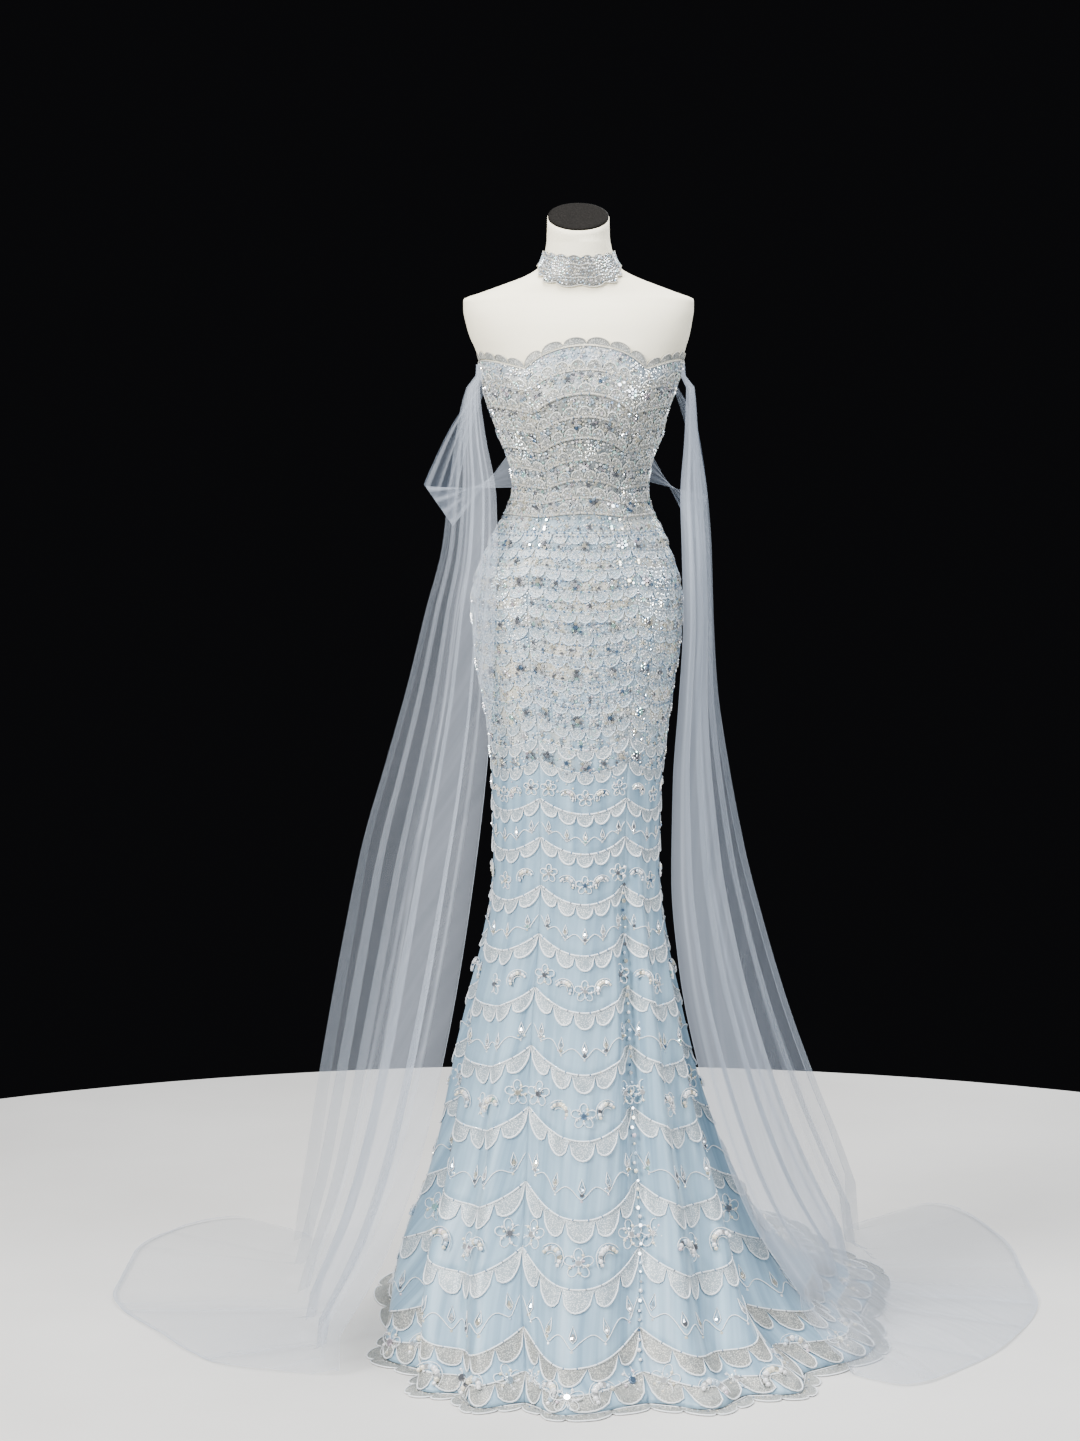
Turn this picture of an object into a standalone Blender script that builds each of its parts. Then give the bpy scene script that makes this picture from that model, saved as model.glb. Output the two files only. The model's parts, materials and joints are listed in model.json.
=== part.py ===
"""A strapless mermaid gown with a beaded choker and two tulle drapes, worn by a limbless dress form
on its stand. Metres, +Z up, the front towards -Y, the origin on the floor under the stand's middle.
Left and right in the names are the wearer's, so the wearer's left is at +X."""

import math

import bmesh
import bpy
import numpy as np

# ---------------------------------------------------------------------------------------------
# Driving dimensions
# ---------------------------------------------------------------------------------------------

SEAM_GAP = 0.0003        # between two sewn pieces
GOWN_WALL = 0.0020       # satin and its lace ground
TULLE_WALL = 0.0010
LACE_WALL = 0.0012
TIER_RISE = 0.0016       # how far each lace tier's lower edge stands proud
TIER_EDGE = 0.0030       # height of the step under a tier
FORM_EASE = 0.0006       # between the form and the inside of the gown

NECKLINE = 1.466         # height of the bodice top at its seams
HEM = 0.0028             # height of the hem's upper face
HEM_UNDERSIDE = 0.0004
FORM_BOTTOM = 0.960
FOOT_TUCK = 0.05         # how much narrower than the gown the form's bottom edge is
NECK_TOP = 1.684
NECK_TILT = 24.0         # degrees, the neck's top leans to the front
POLE_RADIUS = 0.016
BASE_RADIUS = 0.170
BASE_HEIGHT = 0.012

# The gown's outline: how far it reaches from the axis at each height, where its two sides are
# widest from front to back, and how square its corners are (1 is an ellipse).
SECTION_COLUMNS = ("height", "left", "right", "front", "back", "mid_left", "mid_right", "power")
SECTIONS = (
    (1.520, 0.159, 0.158, 0.100, 0.084, 0.000, 0.000, 1.00),
    (1.476, 0.152, 0.149, 0.108, 0.085, 0.000, 0.000, 1.00),
    (1.412, 0.129, 0.133, 0.119, 0.084, 0.000, 0.000, 1.00),
    (1.375, 0.120, 0.120, 0.113, 0.082, 0.000, 0.000, 1.00),
    (1.330, 0.104, 0.103, 0.097, 0.077, 0.000, 0.000, 1.00),
    (1.295, 0.098, 0.097, 0.088, 0.075, 0.000, 0.000, 1.00),
    (1.268, 0.101, 0.102, 0.087, 0.079, 0.000, 0.000, 1.00),
    (1.231, 0.118, 0.121, 0.092, 0.090, 0.000, 0.000, 1.00),
    (1.171, 0.140, 0.148, 0.100, 0.108, 0.000, 0.000, 1.00),
    (1.128, 0.149, 0.158, 0.103, 0.116, 0.000, 0.000, 1.00),
    (1.075, 0.147, 0.155, 0.103, 0.116, 0.000, 0.000, 1.00),
    (1.026, 0.140, 0.150, 0.101, 0.110, 0.000, 0.000, 1.00),
    (0.977, 0.133, 0.140, 0.100, 0.103, 0.000, 0.000, 1.00),
    (0.895, 0.123, 0.130, 0.098, 0.098, 0.000, 0.000, 1.00),
    (0.798, 0.118, 0.128, 0.096, 0.094, 0.000, 0.000, 1.00),
    (0.723, 0.118, 0.128, 0.098, 0.098, 0.000, 0.000, 1.00),
    (0.639, 0.125, 0.137, 0.105, 0.112, 0.000, 0.000, 1.00),
    (0.526, 0.145, 0.160, 0.122, 0.160, 0.000, 0.000, 1.00),
    (0.433, 0.163, 0.178, 0.140, 0.215, 0.010, 0.010, 1.00),
    (0.336, 0.190, 0.194, 0.168, 0.285, 0.030, 0.020, 0.98),
    (0.253, 0.224, 0.213, 0.194, 0.360, 0.060, 0.040, 0.95),
    (0.137, 0.280, 0.254, 0.244, 0.500, 0.110, 0.060, 0.90),
    (0.090, 0.315, 0.262, 0.270, 0.600, 0.150, 0.070, 0.87),
    (0.050, 0.366, 0.268, 0.296, 0.710, 0.210, 0.080, 0.84),
    (0.025, 0.410, 0.272, 0.317, 0.800, 0.270, 0.090, 0.82),
    (0.010, 0.444, 0.275, 0.335, 0.870, 0.310, 0.100, 0.80),
    (-0.010, 0.470, 0.278, 0.352, 0.930, 0.340, 0.100, 0.80),
)

# Where the six long seams run, in degrees round from the front, and how deep the skirt's flutes
# are. A negative angle is on the wearer's right.
SEAM_COLUMNS = ("height", "front_r", "front_l", "side_r", "side_l", "back_r", "back_l", "flute")
SEAMS = (
    (1.50, -35.0, 41.0, -90.0, 90.0, -142.0, 142.0, 0.000),
    (1.40, -31.0, 36.0, -90.0, 90.0, -142.0, 142.0, 0.000),
    (1.13, -29.0, 34.0, -90.0, 90.0, -142.0, 142.0, 0.000),
    (0.85, -27.0, 34.0, -90.0, 90.0, -140.0, 140.0, 0.000),
    (0.65, -27.0, 33.0, -88.0, 86.0, -138.0, 136.0, 0.008),
    (0.45, -26.0, 30.0, -82.0, 79.0, -134.0, 131.0, 0.018),
    (0.30, -24.0, 25.0, -76.0, 71.0, -130.0, 126.0, 0.028),
    (0.14, -19.0, 17.0, -66.0, 58.0, -124.0, 119.0, 0.040),
    (0.05, -15.0, 11.0, -60.0, 49.0, -119.0, 114.0, 0.050),
    (-0.01, -13.0, 8.0, -57.0, 45.0, -117.0, 112.0, 0.054),
)

# How far a lace line's middle hangs below its two ends at the seams. Above the waist it arches.
SWAG_COLUMNS = ("height", "drop")
SWAGS = (
    (1.466, -0.034), (1.401, -0.028), (1.345, -0.022), (1.291, -0.014), (1.250, -0.006),
    (1.209, 0.004), (1.096, 0.012), (0.998, 0.018), (0.903, 0.021), (0.750, 0.026),
    (0.567, 0.034), (0.395, 0.042), (0.200, 0.046), (0.095, 0.040), (0.030, 0.012),
    (0.0028, 0.000),
)

# The rows of points down a panel, by their height at the seams, and whether a lace tier ends
# there. A tier's end takes two rows on the outer side and one on the plain inner side.
LEVEL_COLUMNS = ("height", "tier")
LEVELS = (
    (1.466, False), (1.434, False), (1.401, True), (1.374, False), (1.345, True), (1.318, False),
    (1.291, True), (1.270, False), (1.250, True), (1.209, True), (1.155, True), (1.096, True),
    (1.030, True), (0.966, True), (0.903, True), (0.844, True), (0.787, True), (0.716, True),
    (0.645, True), (0.567, True), (0.483, True), (0.395, True), (0.290, True), (0.200, True),
    (0.095, True), (0.045, False), (0.018, False), (0.0028, False),
)

# The bodice top is a little lower at the back.
TOP_TILT_COLUMNS = ("angle", "tilt")
TOP_TILT = ((0.0, 0.000), (38.0, 0.000), (90.0, 0.006), (142.0, -0.014), (180.0, -0.024))
TILT_ENDS = 1.250

# Each panel runs from one seam to the next. Flutes are its waves at the hem, and scallops are
# the lace points along its neckline and its hem: there a panel's corners must fall on them.
# Arch is the share of the bodice's rise between seams that this panel has.
PANEL_COLUMNS = ("name", "start", "end", "columns", "flutes", "arch", "neck_scallops", "hem_scallops")
PANELS = (
    ("panel_back_r", "centre_r", "back_r", 6, 1, 0.2, 3, 6),
    ("panel_side_back_r", "back_r", "side_r", 8, 2, 0.2, 4, 8),
    ("panel_side_front_r", "side_r", "front_r", 8, 2, 0.25, 5, 8),
    ("panel_front", "front_r", "front_l", 6, 1, 1.0, 6, 4),
    ("panel_side_front_l", "front_l", "side_l", 8, 2, 0.25, 5, 8),
    ("panel_side_back_l", "side_l", "back_l", 8, 2, 0.2, 4, 8),
    ("panel_back_l", "back_l", "centre_l", 6, 1, 0.2, 3, 6),
)

# The hidden zip lies in the centre-back seam.
ZIP_WIDTH = 0.0060
ZIP_END = 1.098
SEAM_OPENS_AT = 1.094
SEAM_CLOSES_AT = 1.032

# The dress form above the gown: half widths, front and back depths.
SHOULDER_COLUMNS = ("height", "left", "right", "front", "back")
SHOULDERS = (
    (1.493, 0.1520, 0.1500, 0.099, 0.079),
    (1.503, 0.157, 0.158, 0.095, 0.080),
    (1.530, 0.163, 0.167, 0.084, 0.080),
    (1.552, 0.166, 0.171, 0.070, 0.074),
    (1.565, 0.166, 0.171, 0.059, 0.066),
    (1.576, 0.140, 0.143, 0.052, 0.060),
    (1.588, 0.108, 0.110, 0.049, 0.056),
    (1.600, 0.078, 0.079, 0.048, 0.053),
    (1.612, 0.058, 0.061, 0.048, 0.051),
    (1.628, 0.049, 0.053, 0.047, 0.049),
    (1.650, 0.0435, 0.0490, 0.046, 0.048),
)
NECK_RADIUS = 0.0452
NECK_SHIFT = -0.003
NECK_BEND = 1.640        # the neck's rings start to tilt above this height

# The choker follows the neck; its two edges are scalloped.
CHOKER_TOP = 1.631
CHOKER_BOTTOM = 1.616
CHOKER_TOP_DIP = 0.006   # how much lower it is in front
CHOKER_BOTTOM_DIP = 0.029
CHOKER_DIP_POWER = 2.2   # how fast the dip fades towards the sides
CHOKER_EASE = 0.0018
CHOKER_STEEP = 0.4       # where the cosine of the turn is above this, the band stands upright
CHOKER_SCALLOPS = 18
CHOKER_SCALLOP = 0.0040

NECK_SCALLOP = 0.0120    # height of the scallops above the bodice
HEM_LACE_WIDTH = 0.010
HEM_LACE_GAP = 0.0010
HEM_SCALLOP = 0.022

# A tulle drape hangs as a fan between a front and a back edge. Every row gives those edges' X and
# Y at a height, how far the fan's middle bows out from the line between them, and its fold depth.
DRAPE_COLUMNS = ("height", "front_x", "front_y", "back_x", "back_y", "bow", "fold")
DRAPE_R = (
    (1.471, -0.130, -0.024, -0.130, 0.020, 0.000, 0.004),
    (1.440, -0.146, -0.036, -0.160, 0.032, 0.004, 0.006),
    (1.370, -0.138, -0.048, -0.176, 0.052, 0.006, 0.009),
    (1.280, -0.122, -0.056, -0.188, 0.072, 0.008, 0.012),
    (1.200, -0.120, -0.074, -0.196, 0.100, 0.010, 0.014),
    (1.100, -0.124, -0.088, -0.222, 0.150, 0.012, 0.016),
    (0.980, -0.128, -0.088, -0.252, 0.215, 0.012, 0.019),
    (0.860, -0.138, -0.090, -0.286, 0.280, 0.012, 0.022),
    (0.720, -0.155, -0.098, -0.325, 0.360, 0.012, 0.026),
    (0.580, -0.176, -0.108, -0.352, 0.440, 0.012, 0.030),
    (0.430, -0.205, -0.122, -0.380, 0.510, 0.010, 0.032),
    (0.290, -0.240, -0.138, -0.404, 0.565, 0.008, 0.033),
    (0.160, -0.290, -0.150, -0.424, 0.605, 0.006, 0.032),
    (0.060, -0.350, -0.164, -0.442, 0.636, 0.006, 0.026),
)
DRAPE_L = (
    (1.471, 0.130, -0.022, 0.130, 0.022, 0.000, 0.002),
    (1.440, 0.154, -0.022, 0.160, 0.034, 0.004, 0.006),
    (1.370, 0.152, -0.022, 0.166, 0.056, 0.006, 0.008),
    (1.280, 0.146, -0.024, 0.182, 0.082, 0.008, 0.010),
    (1.200, 0.148, -0.034, 0.188, 0.112, 0.008, 0.012),
    (1.100, 0.150, -0.042, 0.192, 0.150, 0.008, 0.013),
    (0.980, 0.144, -0.040, 0.202, 0.195, 0.006, 0.014),
    (0.860, 0.136, -0.036, 0.222, 0.245, 0.006, 0.016),
    (0.720, 0.134, -0.034, 0.250, 0.320, 0.006, 0.020),
    (0.580, 0.146, -0.036, 0.288, 0.400, 0.006, 0.022),
    (0.430, 0.176, -0.040, 0.334, 0.490, 0.006, 0.024),
    (0.290, 0.218, -0.046, 0.384, 0.585, 0.006, 0.026),
    (0.190, 0.262, -0.056, 0.424, 0.655, 0.006, 0.026),
    (0.100, 0.325, -0.080, 0.456, 0.705, 0.006, 0.024),
)

# Where each drape's spread on the floor ends, from its front edge round to its back edge.
POOL_COLUMNS = ("along", "x", "y")
POOL_R = (
    (0.00, -0.392, -0.160), (0.15, -0.520, -0.115), (0.32, -0.640, 0.060), (0.52, -0.735, 0.300),
    (0.70, -0.728, 0.560), (0.84, -0.662, 0.735), (0.94, -0.575, 0.790), (1.00, -0.490, 0.715),
)
POOL_L = (
    (0.00, 0.385, -0.150), (0.07, 0.470, -0.218), (0.17, 0.565, -0.130), (0.32, 0.655, 0.020),
    (0.50, 0.725, 0.270), (0.68, 0.725, 0.540), (0.84, 0.690, 0.785), (0.94, 0.620, 0.890),
    (1.00, 0.530, 0.800),
)
POOL_ROWS = (0.12, 0.34, 0.56, 0.78, 1.00)
POOL_FOLD = 0.014        # height of the folds where the tulle meets the floor
POOL_EDGE = 0.0012       # lowest height of the tulle's middle layer
DRAPE_FOLDS = 5
POINTS_PER_FOLD = 4

# The clearance that a drape keeps from the gown, by height.
CLEARANCE = ((1.471, 0.0006), (1.44, 0.0040), (1.30, 0.0070), (0.70, 0.0080), (0.00, 0.0080))

# A loop of tulle behind each drape's head: it leaves the bodice top, turns over a slanting crease
# and comes back to the gown behind the waist. Rows are the ends of its cross lines.
LOOP_COLUMNS = ("outer_x", "outer_y", "outer_z", "inner_x", "inner_y", "inner_z")
LOOP_R = (
    (-0.130, 0.032, 1.462, -0.130, 0.040, 1.462),
    (-0.190, 0.064, 1.380, -0.168, 0.086, 1.350),
    (-0.232, 0.096, 1.292, -0.192, 0.134, 1.232),
    (-0.230, 0.088, 1.289, -0.190, 0.126, 1.228),
    (-0.166, 0.072, 1.287, -0.140, 0.093, 1.292),
    (-0.070, 0.036, 1.290, -0.080, 0.054, 1.372),
)
LOOP_L = (
    (0.130, 0.033, 1.462, 0.130, 0.041, 1.462),
    (0.175, 0.066, 1.376, 0.165, 0.090, 1.346),
    (0.192, 0.106, 1.276, 0.178, 0.138, 1.210),
    (0.190, 0.098, 1.273, 0.176, 0.130, 1.207),
    (0.142, 0.078, 1.286, 0.130, 0.090, 1.296),
    (0.070, 0.038, 1.306, 0.080, 0.054, 1.384),
)
LOOP_COUNT_ACROSS = 5
LOOP_HEAD_GAP = 0.0010   # from the gown's outline to the middle of the tulle, where it is sewn
LOOP_END_GAP = 0.0026    # the same where it is sewn over a lace tier


# ---------------------------------------------------------------------------------------------
# Smooth tables
# ---------------------------------------------------------------------------------------------

def curve_through(places, values):
    """A smooth function through the given points that doesn't swing past them."""
    order = np.argsort(places)
    places = np.array(places, dtype=float)[order]
    values = np.array(values, dtype=float)[order]
    steps = np.diff(values) / np.diff(places)
    slopes = np.zeros(len(values))
    slopes[0] = steps[0]
    slopes[-1] = steps[-1]
    before = steps[:-1]
    after = steps[1:]
    same_way = before * after > 0
    slopes[1:-1][same_way] = (2 * before * after)[same_way] / (before + after)[same_way]

    def value(place):
        place = np.clip(place, places[0], places[-1])
        index = np.clip(np.searchsorted(places, place) - 1, 0, len(steps) - 1)
        width = places[index + 1] - places[index]
        t = (place - places[index]) / width
        start = values[index] * (1 + 2 * t) + slopes[index] * width * t
        end = values[index + 1] * (3 - 2 * t) - slopes[index + 1] * width * (1 - t)
        return start * (1 - t) ** 2 + end * t ** 2

    return value


def read_table(columns, rows):
    """One smooth function of the first column for each other named column."""
    places = [row[0] for row in rows]
    return {name: curve_through(places, [row[index] for row in rows])
            for index, name in enumerate(columns) if index > 0}


SECTION = read_table(SECTION_COLUMNS, SECTIONS)
SEAM = read_table(SEAM_COLUMNS, SEAMS)
SWAG = read_table(SWAG_COLUMNS, SWAGS)
TILT = read_table(TOP_TILT_COLUMNS, TOP_TILT)
KEEP_CLEAR = curve_through(*zip(*CLEARANCE))


# ---------------------------------------------------------------------------------------------
# The gown's surface
# ---------------------------------------------------------------------------------------------

def signed_power(value, power):
    return np.sign(value) * np.abs(value) ** power


def round_section(angle, left, right, front, back, mid=0.0, power=1.0):
    """X and Y on a closed outline; angle in degrees from the front, positive towards +X."""
    turn = np.radians(angle)
    half_width = np.where(np.sin(turn) > 0, left, right)
    depth = np.where(np.cos(turn) > 0, front + mid, back - mid)
    x = half_width * signed_power(np.sin(turn), power)
    y = mid - depth * signed_power(np.cos(turn), power)
    return x, y


def body_point(angle, height, outward=0.0):
    """A point on the gown's plain outline, moved outward level with the floor."""
    turn = np.radians(angle)
    mid = np.where(np.sin(turn) > 0, SECTION["mid_left"](height), SECTION["mid_right"](height))
    x, y = round_section(angle, SECTION["left"](height), SECTION["right"](height),
                         SECTION["front"](height), SECTION["back"](height), mid,
                         SECTION["power"](height))
    return np.stack([x + outward * np.sin(turn), y - outward * np.cos(turn),
                     np.broadcast_to(height, np.shape(x))], axis=-1)


def seam_angle(seam, height):
    if seam == "centre_r":
        return np.full(np.shape(height), -180.0)
    if seam == "centre_l":
        return np.full(np.shape(height), 180.0)
    return SEAM[seam](height)


def panel_height(panel, across, level):
    """The height of a point on a lace line: the line's level at the seams, less its swag."""
    angle = (1 - across) * seam_angle(panel["start"], level) + across * seam_angle(panel["end"], level)
    tilt = TILT["tilt"](np.abs(angle)) * np.clip((level - TILT_ENDS) / (NECKLINE - TILT_ENDS), 0, 1)
    drop = SWAG["drop"](level)
    drop = np.where(drop < 0, drop * panel["arch"], drop)
    return level + tilt - drop * 4 * across * (1 - across)


def panel_surface(panel, across, height):
    """A point of the gown in a panel, with the skirt's flutes: the seams lie in the deepest
    valleys, and a valley inside a panel is shallower."""
    angle = (1 - across) * seam_angle(panel["start"], height) + across * seam_angle(panel["end"], height)
    lift = np.sin(np.pi * panel["flutes"] * across) ** 2
    if panel["flutes"] > 1:
        lift = 0.85 * lift + 0.25 * np.sin(np.pi * across) ** 2
    return body_point(angle, height, SEAM["flute"](height) * (lift - 0.5))


def unit(vectors):
    return vectors / np.linalg.norm(vectors, axis=-1, keepdims=True)


def panel_frame(panel, across, height):
    """Point, outward normal and level tangent of a panel's surface."""
    point = panel_surface(panel, across, height)
    reach = 0.004
    side = panel_surface(panel, across + reach, height) - panel_surface(panel, across - reach, height)
    rise = panel_surface(panel, across, height + reach) - panel_surface(panel, across, height - reach)
    normal = unit(np.cross(side, rise))
    return point, normal, unit(side)


def seam_half_gap(seam, height):
    """Half the gap along a seam. The centre back leaves room for the zip down to its end."""
    if seam not in ("centre_r", "centre_l"):
        return np.full(np.shape(height), SEAM_GAP / 2)
    zip_room = ZIP_WIDTH / 2 + SEAM_GAP
    opened = np.clip((height - SEAM_CLOSES_AT) / (SEAM_OPENS_AT - SEAM_CLOSES_AT), 0, 1)
    return SEAM_GAP / 2 + (zip_room - SEAM_GAP / 2) * opened


def panel_points(panel, levels, lifts):
    """A grid of points, one row for each level, moved out by its lift; the sides keep the seam gap."""
    across = np.linspace(0, 1, panel["columns"] + 1)[None, :]
    level = np.array(levels)[:, None]
    height = panel_height(panel, across, level)
    point, normal, side = panel_frame(panel, across + 0 * level, height)
    point = point + normal * np.array(lifts)[:, None, None]
    point[:, 0] += side[:, 0] * seam_half_gap(panel["start"], height[:, 0])[:, None]
    point[:, -1] -= side[:, -1] * seam_half_gap(panel["end"], height[:, -1])[:, None]
    point[..., 2] = np.maximum(point[..., 2], HEM_UNDERSIDE)
    return point


def outer_rows():
    """Levels and lifts of the outer side: every tier swells towards its lower edge, then steps in."""
    levels = []
    lifts = []
    for height, tier in LEVELS:
        if tier:
            levels += [height + TIER_EDGE / 2, height - TIER_EDGE / 2]
            lifts += [TIER_RISE, 0.0]
        else:
            levels.append(height)
            lifts.append(0.0)
    return levels, lifts


def inner_rows():
    return [height for height, _ in LEVELS]


# ---------------------------------------------------------------------------------------------
# Meshes
# ---------------------------------------------------------------------------------------------

def new_object(name, points, faces, material):
    mesh = bpy.data.meshes.new(name)
    mesh.from_pydata([tuple(point) for point in points], [], faces)
    solid = bmesh.new()
    solid.from_mesh(mesh)
    bmesh.ops.recalc_face_normals(solid, faces=solid.faces)
    solid.to_mesh(mesh)
    solid.free()
    mesh.materials.append(material)
    thing = bpy.data.objects.new(name, mesh)
    collection.objects.link(thing)
    return thing


def grid_faces(rows, columns, start=0, closed=False):
    """Triangle pairs over a grid of points, row by row."""
    faces = []
    for row in range(rows - 1):
        for column in range(columns if closed else columns - 1):
            beside = (column + 1) % columns
            a = start + row * columns + column
            b = start + row * columns + beside
            faces.append((a, b, b + columns))
            faces.append((a, b + columns, a + columns))
    return faces


def join_edges(first, first_levels, second, second_levels):
    """Triangles between two edges of unlike counts, both going down."""
    faces = []
    i = 0
    j = 0
    while i < len(first) - 1 or j < len(second) - 1:
        next_first = first_levels[i + 1] if i < len(first) - 1 else -math.inf
        next_second = second_levels[j + 1] if j < len(second) - 1 else -math.inf
        if next_first >= next_second:
            faces.append((first[i], first[i + 1], second[j]))
            i += 1
        else:
            faces.append((first[i], second[j + 1], second[j]))
            j += 1
    return faces


def two_sided_wall(name, outer, outer_levels, inner, inner_levels, material):
    """A closed wall between an outer and an inner grid that share their columns."""
    outer_count, columns = outer.shape[:2]
    inner_count = inner.shape[0]
    inner_start = outer_count * columns
    faces = grid_faces(outer_count, columns)
    faces += grid_faces(inner_count, columns, inner_start)
    for column in (0, columns - 1):
        outer_edge = [row * columns + column for row in range(outer_count)]
        inner_edge = [inner_start + row * columns + column for row in range(inner_count)]
        faces += join_edges(outer_edge, outer_levels, inner_edge, inner_levels)
    for outer_row, inner_row in ((0, 0), (outer_count - 1, inner_count - 1)):
        for column in range(columns - 1):
            a = outer_row * columns + column
            b = inner_start + inner_row * columns + column
            faces.append((a, a + 1, b + 1, b))
    points = np.concatenate([outer.reshape(-1, 3), inner.reshape(-1, 3)])
    return new_object(name, points, faces, material)


def thick_sheet(name, grid, thickness, material, closed=False):
    """A sheet of cloth: a grid of points through its middle, made solid by Solidify."""
    rows, columns = grid.shape[:2]
    sheet = new_object(name, grid.reshape(-1, 3), grid_faces(rows, columns, 0, closed), material)
    solid = sheet.modifiers.new("cloth thickness", "SOLIDIFY")
    solid.thickness = thickness
    solid.offset = 0.0
    return sheet


def lofted_solid(name, rings, material):
    """A closed body through rings of equal counts, capped flat at both ends."""
    count, columns = rings.shape[:2]
    faces = grid_faces(count, columns, 0, closed=True)
    faces.append(tuple(range(columns)))
    faces.append(tuple((count - 1) * columns + column for column in range(columns)))
    return new_object(name, rings.reshape(-1, 3), faces, material)


def new_material(name, colour, roughness, metallic=0.0):
    material = bpy.data.materials.new(name)
    material.use_nodes = True
    shader = material.node_tree.nodes["Principled BSDF"]
    shader.inputs["Base Color"].default_value = (*colour, 1.0)
    shader.inputs["Roughness"].default_value = roughness
    shader.inputs["Metallic"].default_value = metallic
    return material


# ---------------------------------------------------------------------------------------------
# The gown
# ---------------------------------------------------------------------------------------------

def named_panel(row):
    return dict(zip(PANEL_COLUMNS, row))


def make_panels(material):
    outer_levels, outer_lifts = outer_rows()
    inner_levels = inner_rows()
    for row in PANELS:
        panel = named_panel(row)
        outer = panel_points(panel, outer_levels, outer_lifts)
        inner = panel_points(panel, inner_levels, [-GOWN_WALL] * len(inner_levels))
        inner[-1] = outer[-1]
        inner[-1, :, 2] = HEM_UNDERSIDE
        two_sided_wall(panel["name"], outer, outer_levels, inner, inner_levels, material)


def make_zip(material):
    """The closed zip: a narrow strip in the centre-back seam."""
    back = dict(named_panel(PANELS[0]), columns=1)
    levels = [height for height in inner_rows() if height > ZIP_END] + [ZIP_END]
    across = np.zeros((len(levels), 1))
    height = panel_height(back, across, np.array(levels)[:, None])
    point, normal, side = panel_frame(back, across, height)
    half = side * ZIP_WIDTH / 2
    strip = np.concatenate([point - half, point + half], axis=1)
    sides = np.concatenate([normal, normal], axis=1)
    two_sided_wall("zip_back", strip, levels, strip - sides * GOWN_WALL, levels, material)


def scallop_heights(count, low, high):
    """The outline of a row of scallops, three spans each, as fractions along and heights."""
    along = np.linspace(0, 1, 3 * count + 1)
    heights = np.full(len(along), high)
    heights[::3] = low
    return along, heights


def make_neckline_lace(material):
    """The scalloped edge that stands above the bodice, open at the zip."""
    lower = []
    upper = []
    for row in PANELS:
        panel = named_panel(row)
        along, rise = scallop_heights(panel["neck_scallops"], 0.3 * NECK_SCALLOP, NECK_SCALLOP)
        if lower:
            along = along[1:]
            rise = rise[1:]
        inset = seam_half_gap(panel["start"], np.array(NECKLINE)) / 0.09
        along = np.where(along == 0, inset, along) if panel["start"] == "centre_r" else along
        along = np.where(along == 1, 1 - inset, along) if panel["end"] == "centre_l" else along
        height = panel_height(panel, along, np.full(len(along), NECKLINE))
        base = height + 3 * SEAM_GAP + 0.5 * LACE_WALL
        for edge, at_height in ((lower, base), (upper, height + rise)):
            point, normal, _ = panel_frame(panel, along, at_height)
            edge.append(point - normal * GOWN_WALL / 2)
    grid = np.stack([np.concatenate(upper), np.concatenate(lower)])
    thick_sheet("neckline_lace", grid, LACE_WALL, material)


def turned_out(along):
    """The level direction out of an outline that runs round with the angle."""
    return unit(np.stack([along[:, 1], -along[:, 0], 0 * along[:, 0]], axis=-1))


def flute_direction(panel, across):
    """The way that the hem's flutes stand out, which never leads back into one."""
    turn = np.radians((1 - across) * seam_angle(panel["start"], HEM)
                      + across * seam_angle(panel["end"], HEM))
    return np.stack([np.sin(turn), -np.cos(turn), 0 * turn], axis=-1)


def make_hem_lace(material):
    """The scalloped border that lies flat on the floor round the hem."""
    outline = []
    outward = []
    reach = []
    for row in PANELS:
        panel = named_panel(row)
        along, rise = scallop_heights(panel["hem_scallops"], 0.25 * HEM_SCALLOP, HEM_SCALLOP)
        corners = np.linspace(0, 1, panel["columns"] + 1)
        hem = panel_surface(panel, corners, np.full(len(corners), HEM))
        outline.append([[np.interp(place, corners, hem[:, axis]) for axis in range(3)]
                        for place in along[:-1]])
        outward.append(flute_direction(panel, along[:-1]))
        reach.append(rise[:-1])
    outline = np.concatenate(outline)
    outward = np.concatenate(outward)
    reach = np.concatenate(reach)
    off_the_hem = turned_out(np.roll(outline, -1, axis=0) - np.roll(outline, 1, axis=0))
    inner = outline + off_the_hem * HEM_LACE_GAP
    outer = outline + outward * (HEM_LACE_WIDTH + reach)[:, None]
    rings = []
    for edge, height in ((inner, 0.0), (outer, 0.0), (outer, LACE_WALL), (inner, LACE_WALL)):
        ring = edge.copy()
        ring[:, 2] = height
        rings.append(ring)
    rings = np.stack(rings + rings[:1])
    columns = rings.shape[1]
    faces = grid_faces(4, columns, 0, closed=True)
    last = 3 * columns
    for column in range(columns):
        beside = (column + 1) % columns
        faces.append((last + column, last + beside, beside))
        faces.append((last + column, beside, column))
    new_object("hem_lace", rings[:4].reshape(-1, 3), faces, material)


# ---------------------------------------------------------------------------------------------
# Tulle
# ---------------------------------------------------------------------------------------------

def ridge_reach(height):
    """How far the skirt's flutes stand out from its plain outline."""
    return 0.5 * SEAM["flute"](height)


def outside_ratio(x, y, height):
    """1 on the line round the gown's flutes at a height, more outside it; and the angle there."""
    left = x > 0
    ridge = ridge_reach(height)
    half_width = np.where(left, SECTION["left"](height), SECTION["right"](height)) + ridge
    mid = np.where(left, SECTION["mid_left"](height), SECTION["mid_right"](height))
    depth = np.where(y < mid, SECTION["front"](height) + mid, SECTION["back"](height) - mid) + ridge
    power = SECTION["power"](height)
    across = signed_power(x / half_width, 1 / power)
    along = signed_power((mid - y) / depth, 1 / power)
    return np.hypot(across, along) ** power, np.degrees(np.arctan2(across, along))


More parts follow.
